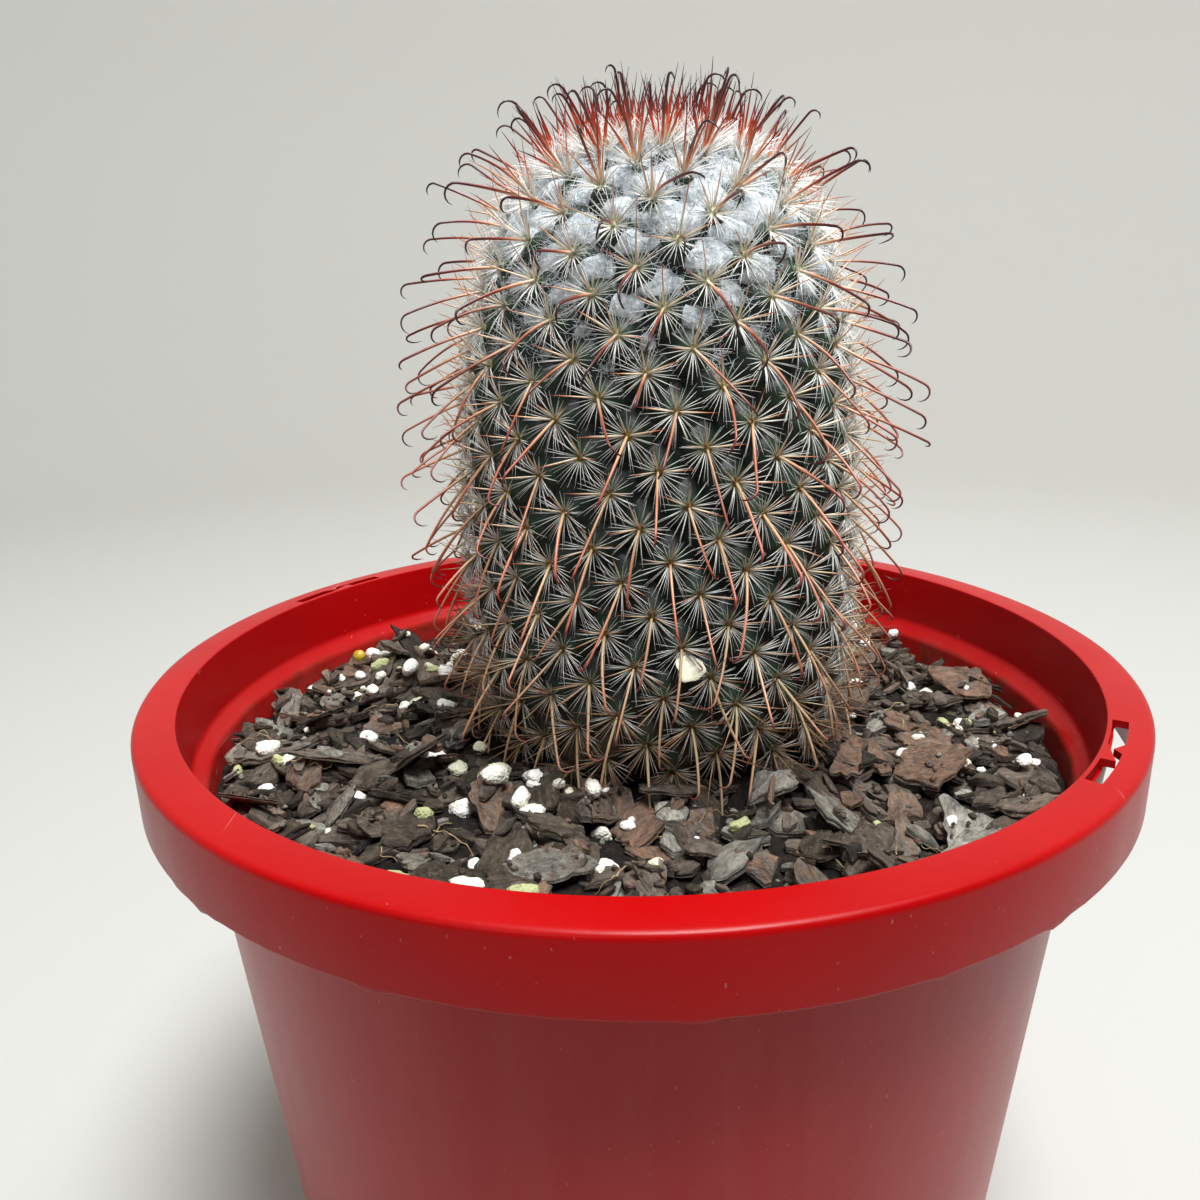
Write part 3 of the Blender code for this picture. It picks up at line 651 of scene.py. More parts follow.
def make_stem():
    """The stem's skin: the envelope pushed in by the distance to the nearest tubercle's tip.

    With d the distance to that tip over the tubercle's own half-width, the push is
    3.4 mm * d ** 1.7, so every tip stands up as a soft cone and creases run half way between tips.
    """
    rows, columns = 250, 372
    last = float(np.interp(-(POT_TOP - 28 * MM), -meridian_z, meridian_s))
    s = np.linspace(0.4 * MM, last, rows)[:, None]
    s, az = np.broadcast_arrays(s, around(columns))
    point, out, _, _ = on_skin(s, az)
    flat = point.reshape(-1, 3)
    nearest = np.full(len(flat), 9.0)
    for first in range(0, len(flat), 8000):
        block = flat[first:first + 8000]
        gap = np.linalg.norm(block[:, None] - areole_at[None], axis=-1) / areole_cell[None]
        nearest[first:first + 8000] = gap.min(1)
    nearest = np.clip(nearest, 0, 1.25).reshape(s.shape)
    depth = 3.4 * MM * np.clip(np.sqrt(skin_per_tubercle(s) / TUBERCLE_AREA), 0.5, 1)
    push = depth * nearest ** 1.7 + 0.12 * MM * rough(point, 3 * MM, 21)
    rings = point - out * push[..., None]
    # painted shade: this tone sets the skin darkest in the creases and palest on the tips, from the distance
    # to the nearest tip
    tone = np.clip(1 - nearest, 0, 1)
    age = np.clip((s / STEM_ARC - 0.86) / 0.14, 0, 1)
    corky = age * (0.35 + 0.65 * (noise(point, 4 * MM, 22) > 0))
    field = shell_points((1, 0, 0), np.stack((tone, corky, np.zeros_like(tone)), -1), (0, 1, 0))
    top = on_skin(np.array([0.0]), np.array([0.0]))[0] - (0, 0, 1.5 * MM)
    bottom = (STEM_X, 0, np.interp(last, meridian_s, meridian_z) - 3 * MM)
    points = shell_points(top, rings, bottom)
    piece = new_piece("stem_skin", points, shell_faces(rows, columns), SKIN, "skin", {"growth": field})
    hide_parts("cactus_stem")


def make_felt():
    """Areole pads: small flattened domes on the tips, longer down the stem than across."""
    rng = np.random.default_rng(31)
    rows, columns = 5, 9
    tilt = np.linspace(0.35, 1.9, rows)[None, :, None]
    turn = around(columns)
    wide = 0.78 * MM * rng.uniform(0.85, 1.15, AREOLES) * np.clip(areole_cell / (5 * MM), 0.6, 1)
    wide = wide[:, None, None]
    ragged = 1 + 0.14 * rng.standard_normal((AREOLES, rows, columns))
    across = np.sin(tilt) * np.sin(turn) * wide * ragged
    along = np.sin(tilt) * np.cos(turn) * wide * 1.2 * ragged
    up = np.cos(tilt) * wide * 0.75 * np.ones_like(turn) + 0.15 * MM
    rings = (areole_at[:, None, None] + across[..., None] * areole_side[:, None, None]
             + along[..., None] * areole_down[:, None, None] + up[..., None] * areole_out[:, None, None])
    top = areole_at + areole_out * (wide[:, 0] * 0.75 + 0.15 * MM)
    bottom = areole_at - areole_out * 0.5 * MM
    points, quads, tris = many_shells(top, rings[:, :, ::-1], bottom)
    per = rows * columns + 2
    field = np.zeros((AREOLES, per, 3))
    field[:, :, 1] = areole_age[:, None]
    new_piece("areole_felt", points, (quads, tris), FELT, "spine", {"growth": field.reshape(-1, 3)})


# ---- spines ----


def make_radial_spines():
    """Radial spines: straight white needles that fan out from each areole like a shallow shuttlecock.

    A needle's heading is turned by psi round the areole from straight down, raised from the skin by
    an angle, and bends back towards the skin by a few degrees.
    """
    rng = np.random.default_rng(41)
    per = 34
    sides, steps = 3, 3
    index = np.repeat(np.arange(AREOLES), per)
    slot = np.tile(np.arange(per), AREOLES)
    n = len(index)
    even = (slot + 0.5) / per * 2 - 1 + rng.normal(0, 0.022, n)
    psi = math.radians(176) * even * (1 - 0.2 * (1 - np.abs(even)))
    young = np.clip(1 - areole_s[index] / (46 * MM), 0, 1) ** 0.8
    upward = 0.5 - 0.5 * np.cos(psi)
    raise_by = np.radians(25 + rng.normal(0, 8, n) + 16 * upward) + young * math.radians(34)
    length = (5.8 - 0.9 * upward) * MM * rng.uniform(0.85, 1.12, n) * (1 + 0.34 * young)
    out, down, side = areole_out[index], areole_down[index], areole_side[index]
    flat = down * np.cos(psi)[:, None] + side * np.sin(psi)[:, None]
    root = areole_at[index] + flat * (0.45 * MM) + out * (0.25 * MM)
    t = np.linspace(0, 1, steps)
    bend = raise_by[:, None] - np.radians(8) * t[None]
    heading = flat[:, None] * np.cos(bend)[..., None] + out[:, None] * np.sin(bend)[..., None]
    paths = root[:, None] + heading * (t[None] * length[:, None])[..., None]
    stout = rng.uniform(0.85, 1.2, n) * (1 + 0.25 * young)
    radii = np.interp(t, [0, 0.4, 1], [0.11, 0.095, 0.022])[None] * MM * stout[:, None]
    across = np.cross(flat, out)
    age = areole_age[index] + rng.normal(0, 0.03, n)
    which = rng.random(n)
    # two pieces, the crown's half and the rest, so that each stays a moderate mesh
    crown = index < AREOLES // 2
    for name, some in (("upper_radial_spines", crown), ("lower_radial_spines", ~crown)):
        wires = (paths[some], radii[some], across[some])
        wire_piece(name, RADIAL_HORN, "spine", wires, sides, (age[some], which[some]))


def spine_paths(root, forward, towards, length, curve, hook, hook_radius, steps):
    """Paths that start along forward, bend the other way by curve radians over the shaft, and then hook.

    The first two fifths of the steps, and one more, cover the shaft. The rest go round the hook, whose
    arc has length hook * hook_radius. The heading is summed step by step.
    """
    shaft = steps * 2 // 5 + 1
    bends = steps - 1 - shaft
    turn, move = (np.concatenate((np.repeat(first[:, None] / shaft, shaft, 1),
                                  np.repeat(second[:, None] / bends, bends, 1)), 1)
                  for first, second in ((curve, hook), (length, hook * hook_radius)))
    heading = np.cumsum(turn, 1) - 0.5 * turn
    delta = forward[:, None] * np.cos(heading)[..., None] + towards[:, None] * np.sin(heading)[..., None]
    paths = root[:, None] + np.cumsum(delta * move[..., None], 1)
    return np.concatenate((root[:, None], paths), 1)


def make_hooked_spines():
    """Hooked central spines: the lowest, longest spine of each areole, ending in a fish-hook."""
    rng = np.random.default_rng(51)
    chosen = np.flatnonzero((areole_s > 5 * MM) & (rng.random(AREOLES) < 0.97))
    n = len(chosen)
    s = areole_s[chosen]
    out, down, side = areole_out[chosen], areole_down[chosen], areole_side[chosen]
    lean = np.interp(s / MM, [5, 20, 35, 55, 80, 110, 130], [4, 9, 17, 28, 38, 50, 62])
    lean = np.radians(lean + rng.normal(0, 8, n))
    swing = np.radians(rng.normal(0, 15, n))
    aside = down * np.cos(swing)[:, None] + side * np.sin(swing)[:, None]
    forward = unit(out * np.cos(lean)[:, None] + aside * np.sin(lean)[:, None])
    bend = unit(aside - forward * (aside * forward).sum(-1, keepdims=True))
    twist = np.radians(rng.normal(0, 28, n))[:, None]
    third = np.cross(forward, bend)
    towards = bend * np.cos(twist) + third * np.sin(twist)
    length = np.interp(s / MM, [5, 20, 50, 110], [10.5, 13.0, 14.0, 13.5]) * MM
    length = length * rng.uniform(0.84, 1.14, n)
    hook = np.radians(rng.normal(158, 16, n))
    hook_radius = rng.uniform(1.2, 1.95, n) * MM
    curve = np.radians(rng.normal(15, 8, n))
    root = areole_at[chosen] + out * 0.4 * MM
    steps, sides = 15, 5
    paths = spine_paths(root, forward, towards, length, curve, hook, hook_radius, steps)
    thick = np.interp(np.linspace(0, 1, steps), [0, 0.15, 0.5, 0.85, 1], [0.28, 0.27, 0.23, 0.16, 0.03])
    radii = thick[None] * MM * rng.uniform(0.88, 1.12, n)[:, None]
    wires = (paths, radii, np.cross(forward, towards))
    growth = (areole_age[chosen] + rng.normal(0, 0.03, n), rng.random(n))
    piece = wire_piece("hooked_central_spines", HOOKED_HORN, "spine", wires, sides, growth)
    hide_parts(*nodes_called("central_spine_"))


def make_straight_centrals():
    """Straight central spines: three to an areole, a dense brush on the crown, and more at the foot."""
    rng = np.random.default_rng(61)
    many = np.where(areole_s < 20 * MM, 7, np.where(areole_s < 32 * MM, 4, 3)) + 4 * (areole_age > 0.83)
    index = np.repeat(np.arange(AREOLES), many)
    slot = np.concatenate([np.arange(m) / m for m in many])
    n = len(index)
    s = areole_s[index]
    crown = s < 32 * MM
    foot = areole_age[index] > 0.83
    psi = np.where(crown, TAU * slot, np.radians(100 + 240 * slot)) + rng.normal(0, 0.22, n)
    lean = np.where(crown, np.interp(s / MM, [0, 20, 32], [5, 14, 26]), 38)
    lean = np.radians(lean + rng.normal(0, 8, n))
    lean = lean + foot * rng.uniform(-0.35, 0.30, n)
    out, down, side = areole_out[index], areole_down[index], areole_side[index]
    flat = down * np.cos(psi)[:, None] + side * np.sin(psi)[:, None]
    forward = unit(out * np.cos(lean)[:, None] + flat * np.sin(lean)[:, None])
    towards = unit(flat - forward * (flat * forward).sum(-1, keepdims=True))
    length = np.interp(s / MM, [0, 15, 27, 45, 110], [12.0, 13.0, 10.8, 9.2, 8.6]) * MM
    length = length * rng.uniform(0.7, 1.12, n) * (1 + 0.35 * foot)
    t = np.linspace(0, 1, 5)
    curve = np.radians(rng.normal(4, 4, n))
    heading = curve[:, None] * t[None]
    move = forward[:, None] * np.cos(heading)[..., None] + towards[:, None] * np.sin(heading)[..., None]
    root = areole_at[index] + out * 0.3 * MM + flat * 0.35 * MM
    paths = root[:, None] + move * (t[None] * length[:, None])[..., None]
    thick = np.interp(s / MM, [0, 22, 34, 110], [0.28, 0.26, 0.19, 0.17])
    thick = thick * rng.uniform(0.8, 1.2, n) * MM
    radii = np.interp(t, [0, 0.4, 1], [1.0, 0.85, 0.12])[None] * thick[:, None]
    wires = (paths, radii, np.cross(forward, towards))
    growth = (areole_age[index] + rng.normal(0, 0.03, n), rng.random(n))
    wire_piece("straight_central_spines", STRAIGHT_HORN, "spine", wires, 4, growth)


# ---- wool ----


def make_wool():
    """Axil wool: a lumpy flat tuft above each young tubercle, and thousands of fine curling hairs on it."""
    rng = np.random.default_rng(71)
    fade = np.clip((64 * MM - areole_s) / (24 * MM), 0, 1)
    chosen = np.flatnonzero((fade > 0.06) & (areole_s > 1 * MM))
    fade = fade[chosen]
    size = areole_cell[chosen] * (0.20 + 0.48 * fade) * rng.uniform(0.7, 1.25, len(chosen))
    up_by = areole_cell[chosen] * rng.uniform(0.9, 1.05, len(chosen))
    swing = rng.normal(0, 0.5, len(chosen)) * MM / (20 * MM)
    at, out, down, side = on_skin(np.maximum(areole_s[chosen] - up_by, 0.3 * MM), areole_az[chosen] + swing,
                                  lift=-3.3 * MM + 1.4 * MM * fade)
    rows, columns = 15, 26
    tilt = np.linspace(0.15, math.pi - 0.15, rows)[None, :, None, None]
    turn = around(columns)[:, None]
    ball = (np.sin(tilt) * np.cos(turn) * down[:, None, None] * 0.92
            + np.sin(tilt) * np.sin(turn) * side[:, None, None] * 1.45
            + np.cos(tilt) * out[:, None, None] * 0.5)
    rings = at[:, None, None] + ball * size[:, None, None, None]
    lumps = 0.36 * rough(rings, 3.6 * MM, 72, 2) + 0.18 * noise(rings, 1.2 * MM, 75)
    rings = rings + ball * lumps[..., None] * size[:, None, None, None]
    top = at + out * 0.5 * size[:, None]
    bottom = at - out * 0.5 * size[:, None]
    points, quads, tris = many_shells(top, rings[:, :, ::-1], bottom)
    new_piece("axil_wool_tufts", points, (quads, tris), WOOL, "spine")
    per, steps = 92, 3
    index = np.repeat(np.arange(len(chosen)), per)
    n = len(index)
    start = unit(out[index] * rng.uniform(0.1, 0.7, n)[:, None]
                 + down[index] * rng.normal(0, 0.8, n)[:, None]
                 + side[index] * rng.normal(0, 1.3, n)[:, None])
    root = at[index] + start * size[index][:, None] * 0.9
    drift = unit(start * 0.7 + 1.0 * rng.standard_normal((n, 3)))
    curl = unit(np.cross(start, rng.standard_normal((n, 3))))
    t = np.linspace(0, 1, steps)[None, :, None]
    length = (areole_cell[chosen][index] * rng.uniform(0.25, 0.75, n))[:, None, None]
    paths = root[:, None] + length * (t * drift[:, None] + 0.4 * np.sin(3.6 * t) * curl[:, None])
    radii = np.broadcast_to(np.linspace(0.065, 0.035, steps)[None] * MM, (n, steps))
    reference = unit(np.cross(drift, curl) + 0.01)
    crown = index < len(chosen) // 2
    for name, some in (("crown_wool_hairs", crown), ("axil_wool_hairs", ~crown)):
        wire_piece(name, WOOL, "spine", (paths[some], radii[some], reference[some]), 3)


# ---- the mix and what lies on it ----


def mix_level(x, y):
    """Height of the fines under the loose pieces: a low mound round the stem, with lumps."""
    radius = np.hypot(x, y)
    place = np.stack((x, y, np.zeros_like(x)), -1)
    mound = POT_TOP - 16.5 * MM - 4.0 * MM * np.clip(radius / BODY_TOP, 0, 1) ** 1.6
    return mound + 1.4 * MM * noise(place, 16 * MM, 81) + 0.8 * MM * noise(place, 5 * MM, 82)


def make_fines():
    """The body of the mix: a lumpy top disc, then straight down the wall and in under the floor."""
    columns = 200
    az = around(columns)
    clear = WALL + 0.3 * MM
    radius = np.concatenate((np.linspace(0.02, 0.985, 90), [1.0])) * (body_radius(POT_TOP - 19 * MM) - clear)
    x, y = radius[:, None] * np.cos(az), radius[:, None] * np.sin(az)
    z = mix_level(x, y) + 0.5 * MM * rough(np.stack((x, y, 0 * x), -1), 1.8 * MM, 83)
    top = np.stack((x, y, z), -1)
    low = FLOOR_TOP + 0.4 * MM
    height = np.array((90 * MM, 40 * MM, 10 * MM, low))[:, None]
    wide = body_radius(height) - WALL - np.array((0.3, 0.3, 0.3, 5.0))[:, None] * MM
    rings = np.concatenate((top, turned(wide, az, height)))
    points = shell_points((0, 0, mix_level(0.0, 0.0)), rings, (0, 0, low))
    piece = new_piece("mix_fines", points, shell_faces(len(rings), columns), FINES, "mix")
    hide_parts("potting_mix")


# the heap: heights of what has been laid so far, on a square grid of cells from -SPAN to SPAN
CELL = 0.7 * MM
SPAN = 95 * MM
STEEPEST = 0.62  # slope that a flake may lie at
STEM_GAP = 39 * MM  # from the stem's axis to the nearest loose grain
# places on the bark's colour ramp, dark to pale, with few of the palest
BARK_TONES = (0.1, 0.16, 0.22, 0.28, 0.33, 0.38, 0.42, 0.46, 0.5, 0.56, 0.62, 0.68, 0.8)
axis = np.arange(-SPAN, SPAN, CELL)
heap_x, heap_y = np.meshgrid(axis, axis, indexing="ij")
heap = mix_level(heap_x, heap_y)


def drop(outline, underside, thickness, sink):
    """Lay a flat piece on the heap: return its tilted axes and height, and raise the heap under it.

    The plane under the piece is fitted to the heap by least squares over its footprint, and the piece
    is lifted until only a small share of the heap, `sink`, stands above its underside.
    """
    low = np.floor((outline.min(0) + SPAN) / CELL).astype(int)
    high = np.ceil((outline.max(0) + SPAN) / CELL).astype(int) + 1
    window = (slice(low[0], high[0]), slice(low[1], high[1]))
    x, y, z = heap_x[window], heap_y[window], heap[window]
    centre = outline.mean(0)
    inside = np.ones(x.shape, bool)
    for (ax, ay), (ex, ey) in zip(outline, np.roll(outline, -1, 0) - outline):
        inside &= (x - ax) * ey - (y - ay) * ex <= 0
    if inside.sum() < 4:
        inside = np.hypot(x - centre[0], y - centre[1]) < 1.5 * CELL
    dx, dy, dz = x[inside] - centre[0], y[inside] - centre[1], z[inside]
    table = np.stack((dx, dy, np.ones_like(dx)), -1)
    slope = np.linalg.lstsq(table, dz, rcond=None)[0][:2]
    slope = slope * min(1.0, STEEPEST / max(np.hypot(*slope), 1e-9)) + underside
    rest = float(np.quantile(dz - dx * slope[0] - dy * slope[1], 1 - sink))
    raised = rest + dx * slope[0] + dy * slope[1] + thickness
    heap[window][inside] = np.maximum(z[inside], raised)
    return slope, rest


def flake_outline(rng, count, corners, length, width):
    """Outlines of broken flakes: a polygon cut by `corners` straight lines, read at evenly spread angles.

    At angle a the radius is the least of d_j / cos(a - a_j) over the lines, as for any convex polygon.
    """
    a = (TAU * (np.arange(count) + 0.3 * rng.uniform(-1, 1, count)) / count)[:, None]
    lines = TAU * (np.arange(corners) + 0.46 * rng.uniform(-1, 1, corners)) / corners
    gap = rng.uniform(0.55, 1.0, corners)
    facing = np.cos(a - lines[None])
    radius = np.where(facing > 0.15, gap[None] / np.maximum(facing, 0.15), 9).min(1)
    radius = np.minimum(radius, 1.3) * (1 + 0.075 * rng.standard_normal(count))
    return np.stack((0.5 * length * radius * np.cos(a[:, 0]), 0.5 * width * radius * np.sin(a[:, 0])), -1)


def even_spots(rng, count):
    """Spots spread evenly but irregularly over the mix's ring, with no pattern.

    Spot i is the fractional part of i over the plastic number and over its square, a little shaken,
    mapped on the radius (by area) and the azimuth.
    """
    i = (rng.integers(0, 1000) + np.arange(count))[:, None]
    share = np.mod(i * (0.7548776662, 0.5698402910) + 0.02 * rng.standard_normal((count, 2)), 1)
    radius = np.sqrt(34.0 ** 2 + share[:, 0] * (88.0 ** 2 - 34.0 ** 2)) * MM
    return np.stack((radius * np.cos(TAU * share[:, 1]), radius * np.sin(TAU * share[:, 1])), -1)


def lay_flakes(rng, sizes, columns, levels, sink, inner_gap):
    """Drop flakes of the given (length, width, thickness) one by one, and return their points and fields.

    A flake is its outline at several levels: the share of the outline and of the thickness are in
    `levels`, from the middle of the top round the edge to the middle of the underside.
    """
    n = len(sizes)
    rings = np.zeros((n, len(levels), columns, 3))
    local = np.zeros((n, len(levels), columns, 3))
    poles = np.zeros((n, 2, 3))
    spots = even_spots(rng, n)
    for i, (length, width, thick) in enumerate(sizes):
        outline = flake_outline(rng, columns, rng.integers(4, 7), length, width)
        yaw = rng.uniform(0, TAU)
        turn = np.array(((math.cos(yaw), math.sin(yaw)), (-math.sin(yaw), math.cos(yaw))))
        turned = outline @ turn
        reach = np.linalg.norm(turned, axis=1).max()
        off = spots[i] - (STEM_X, 0)
        near = 35 * MM + inner_gap * reach
        spot = (STEM_X, 0) + off * max(1.0, near / np.hypot(*off))
        placed = turned + spot
        over = np.hypot(*placed.T).max() - (BODY_TOP - 3.2 * MM)
        if over > 0:
            spot = spot - spot / np.hypot(*spot) * over
            placed = turned + spot
        slope, rest = drop(placed, rng.normal(0, 0.10, 2), thick, sink)
        bow = rng.normal(0, 0.5) * thick
        share = np.array([lv[0] for lv in levels])[:, None, None]
        flat = placed[None] * share + spot * (1 - share)
        lift = np.array([lv[1] for lv in levels])[:, None]
        seed = int(rng.integers(0, 10000))
        up = np.broadcast_to(lift[..., None] * thick, (len(levels), columns, 1))
        body = np.concatenate((outline[None] * share, up), -1)
        ragged = rough(body + seed * 0.01, 2.4 * MM, seed)
        wave = bow * (1 - share[..., 0] ** 2) + 0.22 * thick * ragged
        steps = 0.25 * thick * np.round(1.4 * noise(body * (1, 1, 0) + seed * 0.01, 4.5 * MM, seed + 7))
        dx, dy = flat[..., 0] - spot[0], flat[..., 1] - spot[1]
        height = rest + dx * slope[0] + dy * slope[1] + thick * lift + wave + steps * (lift > 0.5)
        rings[i] = np.concatenate((flat, height[..., None]), -1)
        rings[i, ..., :2] += 0.05 * width * ragged[..., None] * unit(flat - spot)
        local[i] = body / MM + seed
        poles[i, 0] = (*spot, height[0].mean())
        poles[i, 1] = (*spot, height[-1].mean())
    points, quads, tris = many_shells(poles[:, 0], rings, poles[:, 1])
    flake = np.concatenate((local[:, :1, 0], local.reshape(n, -1, 3), local[:, -1:, 0]), 1).reshape(-1, 3)
    return points, quads, tris, flake


def bark_piece(name, seed, sizes, columns, levels, sink, inner_gap):
    """One layer of bark flakes as a piece, each flake with its own tone."""
    rng = np.random.default_rng(seed)
    points, quads, tris, flake = lay_flakes(rng, sizes, columns, levels, sink, inner_gap)
    n = len(sizes)
    shade = np.clip(rng.choice(BARK_TONES, n) + rng.normal(0, 0.05, n), 0, 1)
    tone = np.repeat(np.stack((shade, rng.random(n), rng.random(n)), -1), columns * len(levels) + 2, 0)
    piece = new_piece(name, points, (quads, tris), BARK, "bark", {"flake": flake, "tone": tone})
    piece.data.set_sharp_from_angle(angle=math.radians(32))
    return piece


def flake_sizes(rng, count, longest, widest, thickest):
    """Random (length, width, thickness) of flakes, from three pairs of limits in millimetres."""
    return [[rng.uniform(*limits) * MM for limits in (longest, widest, thickest)] for _ in range(count)]


def make_bark():
    """Four drops of bark: a bed of middling flakes, splinters, the large ones, and broken ones on top."""
    rng = np.random.default_rng(91)
    plain = [(0.5, 1.0), (0.97, 0.97), (1.0, 0.72), (0.95, 0.35), (0.98, 0.1), (0.7, 0.0)]
    fine = [(0.2, 1.0), (0.4, 1.03), (0.6, 0.99), (0.78, 1.01), (0.9, 0.98), (0.98, 0.93), (1.0, 0.74),
            (0.95, 0.56), (0.99, 0.44), (1.0, 0.26), (0.95, 0.08), (0.6, 0.0)]
    bark_piece("bark_bed", 92, flake_sizes(rng, 460, (6, 12), (4, 8), (1.0, 2.0)), 13, plain, 0.25, 0.2)
    small = flake_sizes(rng, 420, (2.5, 7.5), (1.6, 4.5), (0.5, 1.3))
    bark_piece("bark_splinters", 94, small, 10, plain, 0.12, 0.1)
    large = flake_sizes(rng, 135, (8, 16.5), (5, 11), (0.8, 1.8))
    piece = bark_piece("bark_flakes", 93, large, 28, fine, 0.10, 0.35)
    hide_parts(*nodes_called("bark_chip_"))
    broken = flake_sizes(rng, 260, (2.5, 6.5), (1.5, 3.5), (0.5, 1.2))
    bark_piece("bark_fragments", 95, broken, 10, plain, 0.12, 0.1)


def heap_height(x, y, reach=0):
    """Height of the heap at points, read from its grid; with reach, the highest cell that near."""
    i = np.clip((np.asarray(x) + SPAN) / CELL, reach, len(axis) - 1 - reach).astype(int)
    j = np.clip((np.asarray(y) + SPAN) / CELL, reach, len(axis) - 1 - reach).astype(int)
    steps = range(-reach, reach + 1)
    return np.max([heap[i + a, j + b] for a in steps for b in steps], axis=0)


def grain_piece(name, seed, spots, sizes, look, slot, lumps, tones, detail, sink, reach=0):
    """Broken grains: balls with lumps and dents, stretched, turned, and sunk a little where they lie."""
    rng = np.random.default_rng(seed)
    n = len(spots)
    rows, columns = detail
    tilt = np.linspace(0.3, math.pi - 0.3, rows)[None, :, None]
    ball = turned(np.sin(tilt), around(columns), np.cos(tilt))
    stretch = np.stack((rng.uniform(0.9, 1.5, n), rng.uniform(0.7, 1.0, n), rng.uniform(0.6, 0.9, n)), -1)
    stretch = stretch ** min(1.0, 6 * lumps)
    seeds = rng.uniform(0, 50, (n, 1, 1, 3))
    dents = rough(ball + seeds, 1.1, seed, 2)
    swell = 1 + lumps * (dents - 1.1 * np.abs(noise(ball + seeds, 0.62, seed + 5)) + 0.4)
    body = ball * swell[..., None] * stretch[:, None, None] * sizes[:, None, None, None]
    yaw = rng.uniform(0, TAU, n)[:, None, None]
    x = body[..., 0] * np.cos(yaw) - body[..., 1] * np.sin(yaw)
    y = body[..., 0] * np.sin(yaw) + body[..., 1] * np.cos(yaw)
    body = np.stack((x, y, body[..., 2]), -1)
    heights = heap_height(spots[:, 0], spots[:, 1], reach)
    centre = np.concatenate((spots, (heights + sink * sizes * stretch[:, 2])[:, None]), -1)
    pole = (0, 0, 1) * (sizes * stretch[:, 2])[:, None]
    points, quads, tris = many_shells(centre + pole, centre[:, None, None] + body, centre - pole)
    tone = np.stack((rng.choice(tones, n), rng.random(n), rng.random(n)), -1)
    tone = np.repeat(tone, rows * columns + 2, 0)
    return new_piece(name, points, (quads, tris), look, slot, {"tone": tone, "flake": points / MM})


def clear_spots(spots, inner, edge):
    """The spots that lie further than inner from the stem's axis and further than edge from the wall."""
    from_stem = np.hypot(spots[:, 0] - STEM_X, spots[:, 1])
    return spots[(np.hypot(*spots.T) < BODY_TOP - edge) & (from_stem > inner)]


def ring_spots(rng, count, inner=STEM_GAP):
    """Random places on the mix between the stem and the wall."""
    spots = rng.uniform(-1, 1, (count * 4, 2)) * (BODY_TOP - 4 * MM)
    return clear_spots(spots, inner, 4.5 * MM)[:count]


def make_grains():
    """Perlite grains over the heap, thickest at the back left, crumbs of bark, and the one coated prill."""
    rng = np.random.default_rng(101)
    spots = ring_spots(rng, 170)
    corner = np.array((-56.0, 30.0)) * MM + rng.normal(0, 9, (30, 2)) * MM
    near_stem = np.array((-22.0, -40.0)) * MM + rng.normal(0, 6, (14, 2)) * MM
    spots = np.concatenate((spots, clear_spots(np.concatenate((corner, near_stem)), STEM_GAP, 5 * MM)))
    sizes = np.minimum(rng.uniform(0.6, 2.5, len(spots)), rng.uniform(0.8, 3.4, len(spots))) * MM
    piece = grain_piece("perlite_grains", 102, spots, sizes, PERLITE, "perlite", 0.3,
                        [0.0, 0.1, 0.2, 0.3, 0.45, 0.6, 0.75, 1.0], detail=(9, 14), sink=0.35)
    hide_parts(*nodes_called("perlite_grain_"))
    crumbs = ring_spots(rng, 1500, 35 * MM)
    grain_piece("bark_crumbs", 104, crumbs, rng.uniform(0.25, 0.85, len(crumbs)) * MM, BARK, "bark", 0.25,
                [0.1, 0.3, 0.4, 0.5, 0.6, 0.7, 0.85], detail=(3, 6), sink=0.3)
    middle = np.mean(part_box("fertiliser_prill"), axis=0)
    prill = grain_piece("coated_prill", 103, middle[None, :2], np.array([1.6 * MM]), PRILL, "prill", 0.02,
                        [0.0], detail=(11, 18), sink=0.6, reach=4)
    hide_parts("fertiliser_prill")


def make_fibres():
    """Thin dry rootlets that wander over the heap."""
    rng = np.random.default_rng(111)
    n, steps = 70, 12
    spots = ring_spots(rng, n)
    heading = rng.uniform(0, TAU, n)[:, None] + np.cumsum(rng.normal(0, 0.35, (n, steps)), 1)
    step = rng.uniform(0.5, 1.5, n)[:, None] * MM
    x = spots[:, :1] + np.cumsum(np.cos(heading) * step, 1)
    y = spots[:, 1:] + np.cumsum(np.sin(heading) * step, 1)
    limit = (BODY_TOP - 4 * MM) / np.maximum(np.hypot(x, y), BODY_TOP - 4 * MM)
    x, y = x * limit, y * limit
    z = heap_height(x, y)
    arch = rng.random((n, 1)) * np.sin(np.linspace(0, 3, steps))
    z = 0.5 * z + 0.5 * np.maximum.accumulate(z, 1) + (0.2 + 0.9 * arch) * MM
    radii = np.interp(np.linspace(0, 1, steps), [0, 0.5, 1], [0.12, 0.10, 0.04])[None] * MM
    radii = radii * rng.uniform(0.5, 1.5, n)[:, None]
    wires = (np.stack((x, y, z), -1), radii, np.tile((0.0, 0.0, 1.0), (n, 1)))
    piece = wire_piece("root_fibres", STRAW, "straw", wires, 5)
    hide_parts(*nodes_called("straw_fibre_"))


